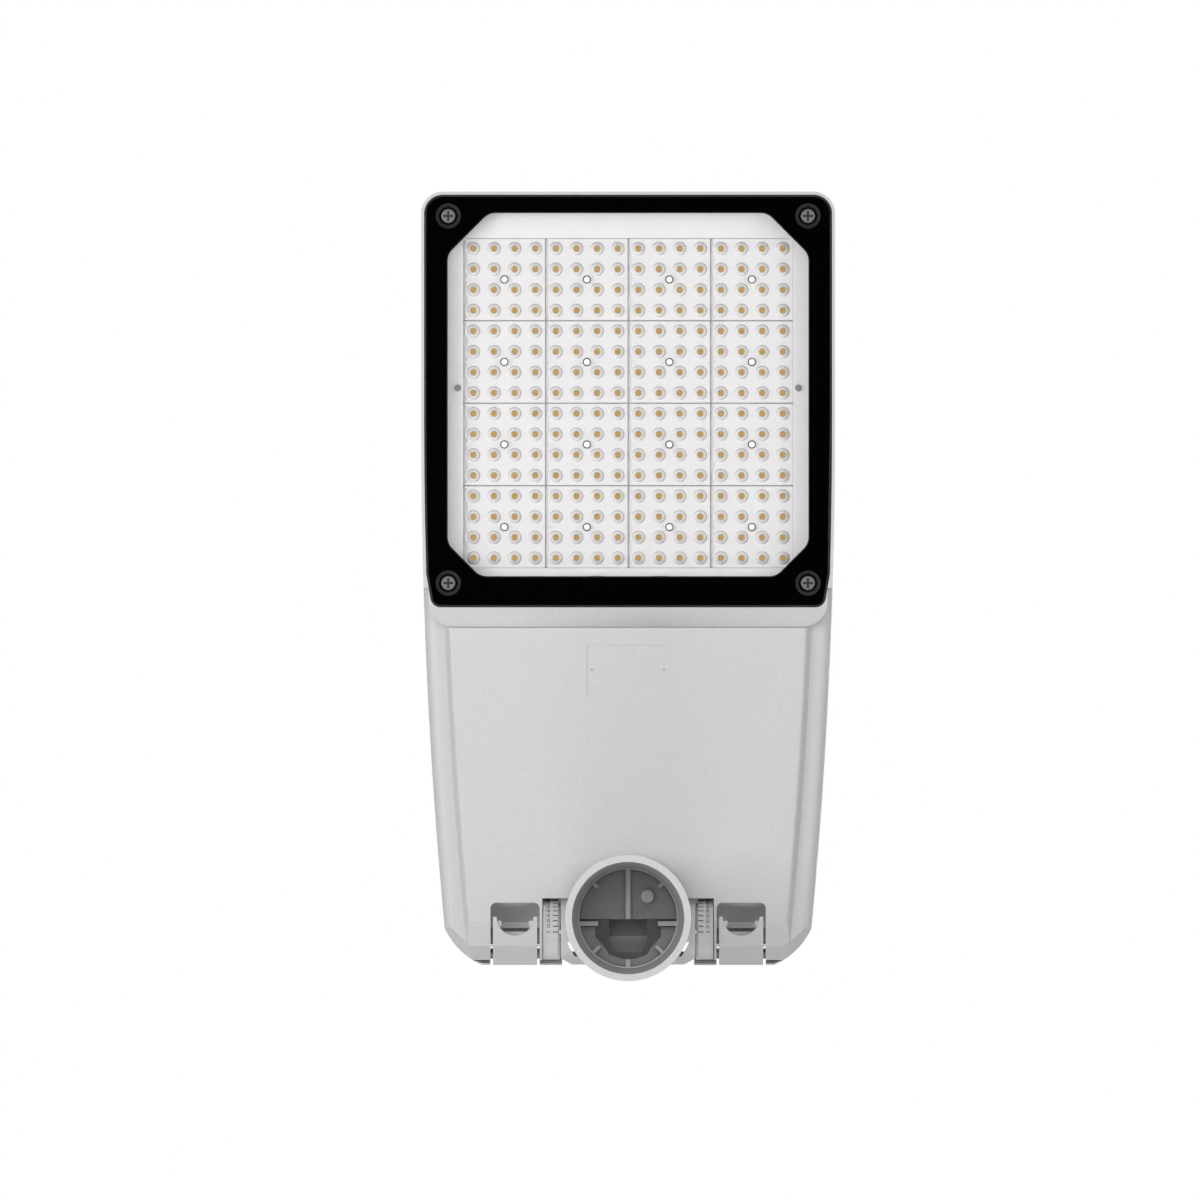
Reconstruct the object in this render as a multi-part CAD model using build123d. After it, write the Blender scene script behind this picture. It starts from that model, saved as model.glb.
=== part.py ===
from build123d import *
from functools import lru_cache
import os

# LED street light on a tilting pole spigot, in millimetres.
# +Z is up, the light shines down, the nose points to -Y and the pole side to +Y.
# The origin is where the end of the pole stops inside the spigot, on the pole's axis.

# Plan outline of the head
HALF_WIDTH = 125.5
NOSE_Y = -440.3
REAR_Y = 28.4
NOSE_CORNER_R = 13.3
FLANK_START_Y = -300.0
CORNER_START = (HALF_WIDTH - 14.3, 6.0)
CORNER_END = (HALF_WIDTH - 37.0, REAR_Y)
CORNER_BULGE = 0.092

# Side profile of the head
NOSE_TOP_Z = 36.0
BROW = (-408.0, 54.0)
CREST = (-60.0, 75.0)
TAIL_TOP_Z = 64.0
TOP_EDGE_R = 12.0

# Seam between the lamp housing and the gear bay
SEAM_Y = -176.5
SEAM_HALF_WIDTH = HALF_WIDTH - 4.7
SEAM_CORNER_R = 15.0
SEAM_GAP = 0.4
SEAM_GROOVE = 0.6
SEAM_GROOVE_DEPTH = 1.5
WING_Y = -200.0

# Lamp housing
FRAME_FACE_Z = 9.5
RIM_Z = 10.5
SKIRT_START_Y = -188.6
SKIRT_MID = (-181.9, 13.6)
SKIRT_END_Z = 18.0
BASE_Z = 26.0
FIN_FLOOR_NOSE_Z = 31.0
FIN_FLOOR_REAR_Z = 36.0
FIN_END_Y = -190.0
FIN_PITCH = 12.2
FIN_THICKNESS = 2.8
FIN_SLOTS = 19

# Glass, its frame and its seal
FRAME_MARGIN = 2.2
FRAME_THICKNESS = 5.0
FRAME_TAPER_Y = -216.0
FRAME_END_HALF_WIDTH = HALF_WIDTH - 6.9
FRAME_END_R = 6.0
FRAME_EDGE_R = 1.4
FRAME_CLEARANCE = 0.3
WINDOW_HALF_WIDTH = HALF_WIDTH - 16.2
WINDOW_NOSE_Y = -427.2
WINDOW_REAR_Y = -207.2
WINDOW_NOSE_CHAMFER = 24.9
WINDOW_REAR_CHAMFER = 19.7
WINDOW_CORNER_R = 10.0
WINDOW_BEVEL = 0.6
GLASS_NOSE_CHAMFER = 20.0
GLASS_REAR_CHAMFER = 12.0
GLASS_THICKNESS = 4.0
GLASS_OVERLAP = 4.4
GLASS_CLEARANCE = 0.6
SEAL_THICKNESS = 1.5
SEAL_INNER_OVERLAP = 1.4
CAVITY_OVERLAP = 1.0
FRAME_SCREW_X = HALF_WIDTH - 16.5
FRAME_SCREW_YS = (-425.5, -203.0)
FRAME_SCREW_HEAD_R = 4.65
FRAME_SCREW_HEAD_H = 2.6
FRAME_SCREW_R = 2.5
COUNTERBORE_R = 7.6
COUNTERBORE_SEAT_R = 5.4
COUNTERBORE_DEPTH = 3.2

# Light modules
MODULES_PER_SIDE = 4
LEDS_PER_SIDE = 4
TRAY_MARGIN = 9.3
MODULE_PITCH = 2 * (WINDOW_HALF_WIDTH - TRAY_MARGIN) / MODULES_PER_SIDE
LED_PITCH = MODULE_PITCH / LEDS_PER_SIDE
MODULE_CENTRE_Y = -312.0
BOARD_SIDE = MODULE_PITCH - 0.4
BOARD_CORNER_R = 1.5
LENS_PLATE_X = (2.8 - MODULE_PITCH / 2, MODULE_PITCH / 2 - 0.2)
LENS_PLATE_DEPTH = MODULE_PITCH - 0.8
LENS_TAB_SIZE = (2.2, 2.6)
LENS_FLANGE_R = 5.2
BUMP_R = 1.3
BUMP_HEIGHT = 0.8
BUMP_X = MODULE_PITCH / 2 - 2.7
LED_SIZE = 3.0
LED_HEIGHT = 0.7
BOARD_THICKNESS = 1.6
LENS_PLATE_THICKNESS = 2.0
LENS_R = 4.1
LENS_HEIGHT = 2.9
LED_POCKET = 4.2
LED_POCKET_DEPTH = 1.1
MODULE_SCREW_R = 1.5
MODULE_SCREW_HEAD_R = 2.55
MODULE_SCREW_HEAD_H = 1.9
TRAY_THICKNESS = 1.0
TRAY_Z = 21.4
TRAY_OPENING = MODULES_PER_SIDE * MODULE_PITCH - 0.2
TRAY_OPENING_CHAMFER = 1.5
TRAY_SCREW_X = WINDOW_HALF_WIDTH - 6.1
TRAY_SCREW_Y = -321.3
TRAY_SCREW_HEAD_R = 1.7
TAB_X = 19.4
TAB_WIDTH = 8.5
TAB_LENGTH = 2.4

# Gear pan
PAN_Z = 18.5
PAN_RIM_Z = 42.0
PAN_WALL = 3.0
SHOULDER_Z = 24.5
SHOULDER_INSET = 10.8
SHOULDER_EDGE_R = 7.0
KEEL_INSET = 15.0
KEEL_R = 2.5
PAN_REAR_Y = 25.4
BAND_1_START_Y = 2.0
BAND_2_START = (16.6, 23.8)
BAND_2_END_Z = 34.3
RIDGE_R = 2.5
BEVEL_WIDTH = 5.0
BEVEL_Z = (21.0, 30.0)
PLATE_HALF_WIDTH = 25.1
PLATE_Y = (-165.6, -135.2)
PLATE_DEPTH = 0.5
PLATE_PIN_X = 21.9
PLATE_PIN_R = 0.9

# Gear lid
LID_WALL = 2.5
BAY_SEAL_HEIGHT = 1.2
LID_GAP = 0.2
LIP_THICKNESS = 1.0
LIP_Z = 38.0
LIP_Z_OVER_DIALS = 40.5
LID_MOUTH_HALF_WIDTH = 40.0
HINGE_X = 70.0
HINGE_RISE = 2.0
HINGE_BARREL_R = 4.5
HINGE_PIN_R = 2.0
HINGE_KNUCKLE = 12.0
HINGE_GAP = 0.5
RUNNING_CLEARANCE = 0.06

# Spigot and tilt joint
SOCKET_OUTER_R = 38.2
SOCKET_BORE_R = 30.4
SOCKET_MOUTH_R = 34.0
SOCKET_DEPTH = 75.0
LEAD_IN = 25.0
SOCKET_FLOOR_R = 29.5
SOCKET_FLOOR_Z = 6.0
FLOOR_GROOVE_WIDTH = 0.7
FLOOR_GROOVE_DEPTH = 1.2
CROWN_Z = 11.0
TILT_Y = 8.4
TILT_Z = 32.0
HUB_R = 16.0
HUB_HALF_WIDTH = 25.5
HUB_ROOM_HALF_WIDTH = 14.4
HUB_CEILING_Z = 38.0
CABLE_HALF_WIDTH = 11.4
CABLE_Y = (0.6, 23.6)
CABLE_RECESS = [(19.5, 0.6), (20.0, 11.1), (17.0, 14.6), (13.7, 18.2), (11.5, 22.1), (3.8, 24.8)]
CABLE_RECESS_DEPTH = 3.0
HORN = [(18.4, 0.6), (17.6, -2.7), (11.2, -6.0), (9.8, -4.6), (9.6, 0.6)]
SLOT = [(5.5, 0.6), (5.5, -6.0), (2.7, -6.0), (2.7, 0.6)]
OUTLINE_WIDTH = 1.2
CABLE_SHELL = [(10.8, 27.0), (20.2, 22.5)]
CABLE_WALL = 3.0
RIB_WIDTH = 2.8
DIAGONAL_RIB_WIDTH = 2.2
DIAGONAL_RIB_INNER_R = (24.1, 26.2)
SIDE_RIB_Y = 3.4
SIDE_RIB_INNER_X = 18.2
SIDE_CHANNEL_Y = (0.6, 5.4)
FOOT_RIB_INNER_R = 25.1
BOSS_R = 3.8
BOSS_X = 11.6
BOSS_Y = -13.1
POLE_SCREW_R = 4.0
POLE_SCREW_ZS = (-22.0, -44.0)
BOLT_R = 5.0
BOLT_HEAD_R = 8.5
BOLT_HEAD_DEPTH = 6.4
BOLT_HEAD_SINK = 0.4
DIAL_R = 19.8
DIAL_X = (41.2, 51.4)
DIAL_LINE_X = (49.85, 50.25)
DIAL_LINE_DEPTH = 0.5
DIAL_GROOVE_X = 42.4
DIAL_GROOVE_R = 17.2
DIAL_FLAT_Y = 25.1
CHEEK_X = (26.0, 40.7)
CHEEK_LINK_Z = 25.0
CHEEK_TOE_Y = -8.0
CHEEK_CHAMFER = (6.7, 3.9)
RELIEF_R = 39.7
RELIEF_Y = (14.4, 20.2)
RELIEF_GROOVE_Y = 23.2
RELIEF_GROOVE_TOP_Z = 30.0
POINTER_HALF_WIDTH = 1.3
NOTCH_HALF_WIDTH = 52.0
NOTCH_Y = -12.0
BULKHEAD = 3.0

# Latches
LATCH_WALL = 1.6
CORNER_LAND = 5.1
POCKET_HALF_WIDTH = (CORNER_END[0] - CORNER_LAND - NOTCH_HALF_WIDTH - LATCH_WALL) / 2
LATCH_X = NOTCH_HALF_WIDTH + LATCH_WALL + POCKET_HALF_WIDTH
POCKET_Y = -9.4
POCKET_CORNER_R = 3.6
DISH_MID = (-6.6, 31.0)
DISH_END = (2.5, 43.0)
TONGUE_HALF_WIDTH = POCKET_HALF_WIDTH - 1.55
TONGUE_TIP_Y = -0.8
TONGUE_THICKNESS = 2.6
TONGUE_END_Y = 28.4
TONGUE_END_Z = 37.6
FINGER_HALF_WIDTH = POCKET_HALF_WIDTH - 3.7
FINGER_END_Y = 10.7
HOOD_WALL = 2.5
HOOD_FRONT_Y = 6.0
HOOD_REAR_Y = 19.6
HOOD_TOP_Z = 57.0
CATCH_WALL_Y = (21.6, 24.6)
CATCH_Z = 47.0
CATCH_LEDGE_Y = 20.9
CATCH_LEDGE_HEIGHT = 2.5
LATCH_PIN_Y = 16.5
LATCH_PIN_Z = 32.0
LATCH_PIN_R = 2.0
LATCH_BARREL_R = 3.6
ARM_HALF_WIDTH = 0.47 * POCKET_HALF_WIDTH
ARM_THICKNESS = 2.6
NOSE_TIP_Y = 20.6
NOSE_HEIGHT = 2.4
LATCH_LIP_Y = 8.2
LATCH_LIP_Z = (29.0, 31.5)
LATCH_EAR_X = (POCKET_HALF_WIDTH - 6.5, POCKET_HALF_WIDTH - 1.9)
LATCH_EAR_Y = (1.6, 5.0)
LATCH_EAR_Z = 26.0

# Inside the gear bay
DRIVER_SIZE = (76.0, 92.0, 34.0)
DRIVER_CENTRE = (63.5 - HALF_WIDTH, -98.0)
DRIVER_FLANGE = 9.0
DRIVER_FLANGE_THICKNESS = 2.0
BOARD_POST_H = 3.0
BAY_SCREW_R = 2.0
BAY_SCREW_HEAD_R = 3.6
BAY_SCREW_HEAD_H = 2.4
SURGE_SIZE = (42.0, 30.0, 26.0)
SURGE_CENTRE = (HALF_WIDTH - 63.5, -128.0)
TERMINAL_SIZE = (52.0, 22.0, 17.0)
TERMINAL_CENTRE = (HALF_WIDTH - 63.5, -70.0)
TERMINAL_WAYS = 5
CLAMP_CENTRE = (0.0, -36.0)
CLAMP_SIZE = (40.0, 10.0, 6.0)
CLAMP_HUMP_R = 6.0
CABLE_HOLE_R = 9.0
CABLE_HOLE_Z = 36.0
GROMMET_LIP = 2.0
WIRE_HOLE_X = -18.0
WIRE_HOLE_R = 4.5
WIRE_HOLE_Z = 28.5
WIRE_HOLE_REACH = 7.0
VENT_X = 18.0
VENT_Z = 33.0
VENT_R = 7.0
VENT_BORE_R = 4.0
EARTH_X = 30.0
EARTH_Y = -52.0
JOINT_SCREW_XS = (40.5 - HALF_WIDTH, -42.0, 42.0, HALF_WIDTH - 40.5)
JOINT_SCREW_Z = 31.0
JOINT_SCREW_R = 3.0
JOINT_SCREW_HEAD_R = 5.0
JOINT_SCREW_HEAD_H = 4.0
JOINT_SCREW_LENGTH = 12.0
HOLE_CLEARANCE = 0.15

TALL = 200.0


def block(x, y, z):
    """A box between two values on each axis."""
    size = [high - low for low, high in (x, y, z)]
    centre = [(low + high) / 2 for low, high in (x, y, z)]
    return Pos(*centre) * Box(*size)


def rod_x(radius, x, y, z):
    """A cylinder along X between two x values."""
    middle = Pos((x[0] + x[1]) / 2, y, z) * Rot(0, 90, 0)
    return middle * Cylinder(radius, abs(x[1] - x[0]))


def rod_y(radius, x, y, z):
    """A cylinder along Y between two y values."""
    middle = Pos(x, (y[0] + y[1]) / 2, z) * Rot(90, 0, 0)
    return middle * Cylinder(radius, abs(y[1] - y[0]))


def rod_z(radius, x, y, z):
    """A cylinder along Z between two z values."""
    return Pos(x, y, (z[0] + z[1]) / 2) * Cylinder(radius, abs(z[1] - z[0]))


def plan_prism(face, z):
    """A plan shape raised between two z values."""
    return Pos(0, 0, z[0]) * extrude(face, amount=z[1] - z[0])


def side_prism(face, x):
    """A shape drawn in Y and Z, run along X between two x values."""
    return Pos(x[0], 0, 0) * extrude(Plane.YZ * face, amount=x[1] - x[0])


def polygon(points):
    return make_face(Polyline(*points, close=True))


def mirrored(part):
    return mirror(part, about=Plane.YZ)


def both_sides(part):
    return part + mirrored(part)


def shifted_copies(part, places):
    """Separate copies of one solid, kept apart as one group."""
    return Compound(children=[Pos(*place) * part for place in places])


def inset(face, amount):
    return offset(face, amount=-amount) if amount else face


# Shared outlines

def rear_corner():
    """The start, middle and end of the rear corner's arc, on the +X side."""
    start = Vector(*CORNER_START)
    end = Vector(*CORNER_END)
    chord = end - start
    middle = (start + end) * 0.5 + Vector(chord.Y, -chord.X) * CORNER_BULGE
    return start, middle, end


def head_outline():
    corner = rear_corner()
    half = [
        Line((0, NOSE_Y), (HALF_WIDTH, NOSE_Y)),
        Line((HALF_WIDTH, NOSE_Y), (HALF_WIDTH, FLANK_START_Y)),
        TangentArc((HALF_WIDTH, FLANK_START_Y), CORNER_START, tangent=(0, 1)),
        ThreePointArc(*corner),
        Line(corner[2], (0, REAR_Y)),
    ]
    other = [mirror(edge, about=Plane.YZ) for edge in half]
    face = make_face(half + other)
    corners = face.vertices().filter_by(lambda v: v.Y < NOSE_Y + 1)
    return fillet(corners.filter_by(lambda v: abs(v.X) > 1), NOSE_CORNER_R)


def flank_outline():
    """The same flanks run on past the rear corners, so that an edge can be rounded along them."""
    flank = TangentArc((HALF_WIDTH, FLANK_START_Y), CORNER_START, tangent=(0, 1))
    end = flank @ 1 + flank % 1 * 60
    half = [
        Line((0, NOSE_Y), (HALF_WIDTH, NOSE_Y)),
        Line((HALF_WIDTH, NOSE_Y), (HALF_WIDTH, FLANK_START_Y)),
        flank,
        Line(flank @ 1, end),
        Line(end, (0, end.Y)),
    ]
    return make_face(half + [mirror(edge, about=Plane.YZ) for edge in half])


def head_profile():
    """The head from the side, in Y and Z, open below where each shell sets its own floor."""
    nose = (NOSE_Y, NOSE_TOP_Z)
    back = TangentArc(CREST, BROW, tangent=(-1, 0))
    brow = TangentArc(BROW, nose, tangent=back % 1)
    tail = TangentArc(CREST, (REAR_Y, TAIL_TOP_Z), tangent=(1, 0))
    return make_face([
        back,
        brow,
        tail,
        Line(nose, (NOSE_Y, 0)),
        Line((NOSE_Y, 0), (REAR_Y, 0)),
        Line((REAR_Y, 0), (REAR_Y, TAIL_TOP_Z)),
    ])


@lru_cache(maxsize=None)
def head_form(amount):
    """The whole head's outer form, or its inner one at a wall's thickness."""
    width = HALF_WIDTH + 1
    body = plan_prism(inset(head_outline(), amount), (0, TALL))
    body &= side_prism(inset(head_profile(), amount), (-width, width))
    top = body.edges().filter_by(lambda e: e.center().Z > NOSE_TOP_Z + 2)
    top = top.filter_by(lambda e: abs(e.center().X) > HALF_WIDTH / 2)
    return fillet(top, TOP_EDGE_R - amount)


def seam_region(amount):
    """Plan of the space that the lamp housing takes below the rim of the gear pan."""
    depth = SEAM_Y - NOSE_Y
    region = Pos(0, SEAM_Y - depth / 2) * Rectangle(2 * SEAM_HALF_WIDTH, depth)
    rear = region.vertices().filter_by(lambda v: v.Y > SEAM_Y - 1)
    region = fillet(rear, SEAM_CORNER_R)
    ahead = WING_Y - NOSE_Y
    region += Pos(0, WING_Y - ahead / 2) * Rectangle(2 * HALF_WIDTH, ahead)
    return inset(region, -amount)


def chamfered_window(amount, nose_chamfer, rear_chamfer):
    depth = WINDOW_REAR_Y - WINDOW_NOSE_Y
    middle = (WINDOW_REAR_Y + WINDOW_NOSE_Y) / 2
    shape = Pos(0, middle) * Rectangle(2 * WINDOW_HALF_WIDTH, depth)
    nose = shape.vertices().filter_by(lambda v: v.Y < middle)
    shape = chamfer(nose, nose_chamfer)
    rear = shape.vertices().filter_by(lambda v: v.Y > WINDOW_REAR_Y - 1)
    return inset(chamfer(rear, rear_chamfer), -amount)


def window_shape():
    """The opening in the black frame."""
    shape = chamfered_window(0, WINDOW_NOSE_CHAMFER, WINDOW_REAR_CHAMFER)
    return fillet(shape.vertices(), WINDOW_CORNER_R)


def glass_shape(amount):
    """The outline that the glass, its seal and the lamp chamber share, grown by an amount."""
    return chamfered_window(amount, GLASS_NOSE_CHAMFER, GLASS_REAR_CHAMFER)


def frame_shape(amount):
    """The black frame's outline, grown by an amount."""
    wide = HALF_WIDTH
    taper = polygon([
        (-wide, NOSE_Y - 1),
        (wide, NOSE_Y - 1),
        (wide, FRAME_TAPER_Y),
        (HALF_WIDTH - FRAME_MARGIN, FRAME_TAPER_Y),
        (FRAME_END_HALF_WIDTH, SKIRT_START_Y),
        (-FRAME_END_HALF_WIDTH, SKIRT_START_Y),
        (FRAME_MARGIN - HALF_WIDTH, FRAME_TAPER_Y),
        (-wide, FRAME_TAPER_Y),
    ])
    shape = inset(head_outline(), FRAME_MARGIN) & taper
    ends = shape.vertices().filter_by(lambda v: v.Y > SKIRT_START_Y - 1)
    return inset(fillet(ends, FRAME_END_R), -amount)


# Levels and stacks that follow from the sizes above
FRAME_BACK_Z = FRAME_FACE_Z + FRAME_THICKNESS
GLASS_BACK_Z = FRAME_BACK_Z + GLASS_THICKNESS
SEAL_BACK_Z = GLASS_BACK_Z + SEAL_THICKNESS
LENS_BACK_Z = BASE_Z - BOARD_THICKNESS
LENS_FACE_Z = LENS_BACK_Z - LENS_PLATE_THICKNESS
LID_Z = PAN_RIM_Z + BAY_SEAL_HEIGHT + LID_GAP
PAN_FLOOR_Z = PAN_Z + PAN_WALL
BAY_FRONT_Y = SEAM_Y
LID_FRONT_Y = SEAM_Y + SEAM_GAP
BAY_INNER_Y = BAY_FRONT_Y + PAN_WALL


# Lamp housing and its glass

def lamp_housing():
    width = HALF_WIDTH + 1
    under = make_face([
        ThreePointArc((SKIRT_START_Y, RIM_Z), SKIRT_MID, (SEAM_Y, SKIRT_END_Z)),
        Polyline(
            (SEAM_Y, SKIRT_END_Z),
            (SEAM_Y, TALL),
            (NOSE_Y - 1, TALL),
            (NOSE_Y - 1, RIM_Z),
            (SKIRT_START_Y, RIM_Z),
        ),
    ])
    body = head_form(0) & side_prism(under, (-width, width))
    below_rim = plan_prism(seam_region(0), (0, PAN_RIM_Z))
    body -= block((-width, width), (SEAM_Y - 60, SEAM_Y), (0, PAN_RIM_Z)) - below_rim
    body -= plan_prism(frame_shape(FRAME_CLEARANCE), (0, FRAME_BACK_Z))
    body -= plan_prism(glass_shape(GLASS_OVERLAP + GLASS_CLEARANCE), (0, SEAL_BACK_Z))
    body -= plan_prism(glass_shape(CAVITY_OVERLAP), (0, BASE_Z))
    channel = polygon([
        (NOSE_Y - 5, FIN_FLOOR_NOSE_Z),
        (FIN_END_Y, FIN_FLOOR_REAR_Z),
        (FIN_END_Y, TALL),
        (NOSE_Y - 5, TALL),
    ])
    slot_width = FIN_PITCH - FIN_THICKNESS
    for index in range(FIN_SLOTS):
        x = (index - (FIN_SLOTS - 1) / 2) * FIN_PITCH
        body -= side_prism(channel, (x - slot_width / 2, x + slot_width / 2))
    for x in (-FRAME_SCREW_X, FRAME_SCREW_X):
        for y in FRAME_SCREW_YS:
            hole = FRAME_SCREW_R + HOLE_CLEARANCE
            body -= rod_z(hole, x, y, (FRAME_BACK_Z, FRAME_BACK_Z + 8))
    for x, y in module_places():
        body -= rod_z(MODULE_SCREW_R + HOLE_CLEARANCE, x, y, (BASE_Z, BASE_Z + 4))
    for x in (-TRAY_SCREW_X, TRAY_SCREW_X):
        body -= rod_z(MODULE_SCREW_R, x, TRAY_SCREW_Y, (BASE_Z, BASE_Z + 4))
    wire_y = (WINDOW_REAR_Y - WIRE_HOLE_REACH, SEAM_Y + 1)
    body -= rod_y(WIRE_HOLE_R, WIRE_HOLE_X, wire_y, WIRE_HOLE_Z)
    body -= rod_y(VENT_BORE_R, VENT_X, (FIN_END_Y - 3, SEAM_Y + 1), VENT_Z)
    for x in JOINT_SCREW_XS:
        thread = (SEAM_Y - JOINT_SCREW_LENGTH, SEAM_Y + 1)
        body -= rod_y(JOINT_SCREW_R + HOLE_CLEARANCE, x, thread, JOINT_SCREW_Z)
    y, z = hinge_place()
    for side in (-1, 1):
        half = HINGE_KNUCKLE / 2
        body -= rod_x(HINGE_BARREL_R + HINGE_GAP, (side * HINGE_X - half, side * HINGE_X + half), y, z)
    return body + hinge_knuckles(on_lid=False)


def glass_frame():
    body = plan_prism(frame_shape(0), (FRAME_FACE_Z, FRAME_BACK_Z))
    body = fillet(body.faces().sort_by(Axis.Z)[0].outer_wire().edges(), FRAME_EDGE_R)
    body -= plan_prism(window_shape(), (0, TALL))
    window_edges = body.faces().sort_by(Axis.Z)[0].inner_wires()[0].edges()
    body = chamfer(window_edges, WINDOW_BEVEL)
    for x in (-FRAME_SCREW_X, FRAME_SCREW_X):
        for y in FRAME_SCREW_YS:
            body -= rod_z(FRAME_SCREW_R + HOLE_CLEARANCE, x, y, (0, TALL))
            dish = Cone(COUNTERBORE_R, COUNTERBORE_SEAT_R, COUNTERBORE_DEPTH)
            body -= Pos(x, y, FRAME_FACE_Z + COUNTERBORE_DEPTH / 2) * dish
    return body


def glass_pane():
    return plan_prism(glass_shape(GLASS_OVERLAP), (FRAME_BACK_Z, GLASS_BACK_Z))


def glass_gasket():
    ring = glass_shape(GLASS_OVERLAP) - glass_shape(SEAL_INNER_OVERLAP)
    return plan_prism(ring, (GLASS_BACK_Z, SEAL_BACK_Z))


def cross_recess(size, depth):
    bar = Box(size, size * 0.22, depth * 2)
    return bar + Rot(0, 0, 90) * bar


def frame_screws():
    """Pan-head screws that point up into the housing."""
    head_z = FRAME_FACE_Z + COUNTERBORE_DEPTH
    screw = rod_z(FRAME_SCREW_HEAD_R, 0, 0, (head_z - FRAME_SCREW_HEAD_H, head_z))
    screw = fillet(screw.edges().sort_by(Axis.Z)[0], 1.2)
    screw += rod_z(FRAME_SCREW_R, 0, 0, (head_z, FRAME_BACK_Z + 7))
    recess = cross_recess(FRAME_SCREW_HEAD_R * 1.3, 2.0)
    screw -= Pos(0, 0, head_z - FRAME_SCREW_HEAD_H) * recess
    places = [(x, y) for x in (-FRAME_SCREW_X, FRAME_SCREW_X) for y in FRAME_SCREW_YS]
    return shifted_copies(screw, places)


# Light modules

def grid(count, pitch):
    return [(index - (count - 1) / 2) * pitch for index in range(count)]


def module_places():
    steps = grid(MODULES_PER_SIDE, MODULE_PITCH)
    return [(x, MODULE_CENTRE_Y + y) for y in steps for x in steps]


def led_places():
    steps = grid(LEDS_PER_SIDE, LED_PITCH)
    return [(x, y) for y in steps for x in steps]


def led_boards():
    board = plan_prism(RectangleRounded(BOARD_SIDE, BOARD_SIDE, BOARD_CORNER_R), (LENS_BACK_Z, BASE_Z))
    led_z = (LENS_BACK_Z - LED_HEIGHT, LENS_BACK_Z)
    half = LED_SIZE / 2
    leds = [block((x - half, x + half), (y - half, y + half), led_z) for x, y in led_places()]
    board = board.fuse(*leds)
    board -= rod_z(MODULE_SCREW_R + HOLE_CLEARANCE, 0, 0, (0, TALL))
    return shifted_copies(board, module_places())


def lens_plate_shape():
    """A plate with round flanges past one edge, and a small tab at each end of that edge."""
    left, right = LENS_PLATE_X
    half = LENS_PLATE_DEPTH / 2
    face = Pos((left + right) / 2, 0) * Rectangle(right - left, LENS_PLATE_DEPTH)
    face += [Pos(x, y) * Circle(LENS_FLANGE_R) for x, y in led_places() if x < left + LENS_FLANGE_R]
    width, depth = LENS_TAB_SIZE
    for side in (-1, 1):
        tab = [(left, side * half), (left - width, side * half), (left, side * (half - depth))]
        face += polygon(tab)
    return face


def lens_plates():
    plate = plan_prism(lens_plate_shape(), (LENS_FACE_Z, LENS_BACK_Z))
    for x in (-BUMP_X, BUMP_X):
        plate += rod_z(BUMP_R, x, 0, (LENS_FACE_Z - BUMP_HEIGHT, LENS_BACK_Z))
    sphere_r = (LENS_R ** 2 + LENS_HEIGHT ** 2) / (2 * LENS_HEIGHT)
    ball = Pos(0, 0, LENS_FACE_Z - LENS_HEIGHT + sphere_r) * Sphere(sphere_r)
    dome = ball & rod_z(LENS_R, 0, 0, (LENS_FACE_Z - LENS_HEIGHT - 1, LENS_FACE_Z + 0.5))
    plate = plate.fuse(*[Pos(x, y) * dome for x, y in led_places()])
    half = LED_POCKET / 2
    pocket_z = (LENS_BACK_Z - LED_POCKET_DEPTH, LENS_BACK_Z + 1)
    pockets = [block((x - half, x + half), (y - half, y + half), pocket_z) for x, y in led_places()]
    plate = plate.cut(*pockets)
    plate -= rod_z(MODULE_SCREW_R + HOLE_CLEARANCE, 0, 0, (0, TALL))
    return shifted_copies(plate, module_places())


def module_screws():
    head_z = LENS_FACE_Z
    screw = rod_z(MODULE_SCREW_HEAD_R, 0, 0, (head_z - MODULE_SCREW_HEAD_H, head_z))
    screw = fillet(screw.edges().sort_by(Axis.Z)[0], 0.8)
    screw += rod_z(MODULE_SCREW_R, 0, 0, (head_z, BASE_Z + 3.5))
    recess = cross_recess(MODULE_SCREW_HEAD_R * 1.1, 0.9)
    screw -= Pos(0, 0, head_z - MODULE_SCREW_HEAD_H) * recess
    return shifted_copies(screw, module_places())


def tray_posts():
    """Places of the two screws that hold the tray, and of the turned-down rim's corners."""
    return [(x, TRAY_SCREW_Y) for x in (-TRAY_SCREW_X, TRAY_SCREW_X)]


def reflector_tray():
    """A white sheet tray round the light modules, with its rim turned up to the base plate."""
    outer = glass_shape(CAVITY_OVERLAP - GLASS_CLEARANCE)
    opening = Pos(0, MODULE_CENTRE_Y) * Rectangle(TRAY_OPENING, TRAY_OPENING)
    opening = chamfer(opening.vertices(), TRAY_OPENING_CHAMFER)
    tray = plan_prism(outer - opening, (TRAY_Z, TRAY_Z + TRAY_THICKNESS))
    rim = outer - inset(outer, TRAY_THICKNESS)
    tray += plan_prism(rim - opening, (TRAY_Z, BASE_Z))
    for x, y in tray_posts():
        tray += rod_z(MODULE_SCREW_R + 1.4, x, y, (TRAY_Z, BASE_Z))
        tray -= rod_z(MODULE_SCREW_R + HOLE_CLEARANCE, x, y, (0, TALL))
    for x in (-TAB_X, TAB_X):
        tab_y = (WINDOW_REAR_Y - TAB_LENGTH, WINDOW_REAR_Y - 0.2)
        tab_x = (x - TAB_WIDTH / 2, x + TAB_WIDTH / 2)
        tray += block(tab_x, tab_y, (TRAY_Z - 1.2, TRAY_Z))
    return tray


def tray_screws():
    screw = rod_z(TRAY_SCREW_HEAD_R + 0.4, 0, 0, (TRAY_Z - 1.0, TRAY_Z))
    screw += rod_z(MODULE_SCREW_R, 0, 0, (TRAY_Z, BASE_Z + 3.5))
    screw -= Pos(0, 0, TRAY_Z - 1.0) * cross_recess(TRAY_SCREW_HEAD_R, 0.5)
    return shifted_copies(screw, tray_posts())


# Gear pan

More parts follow.
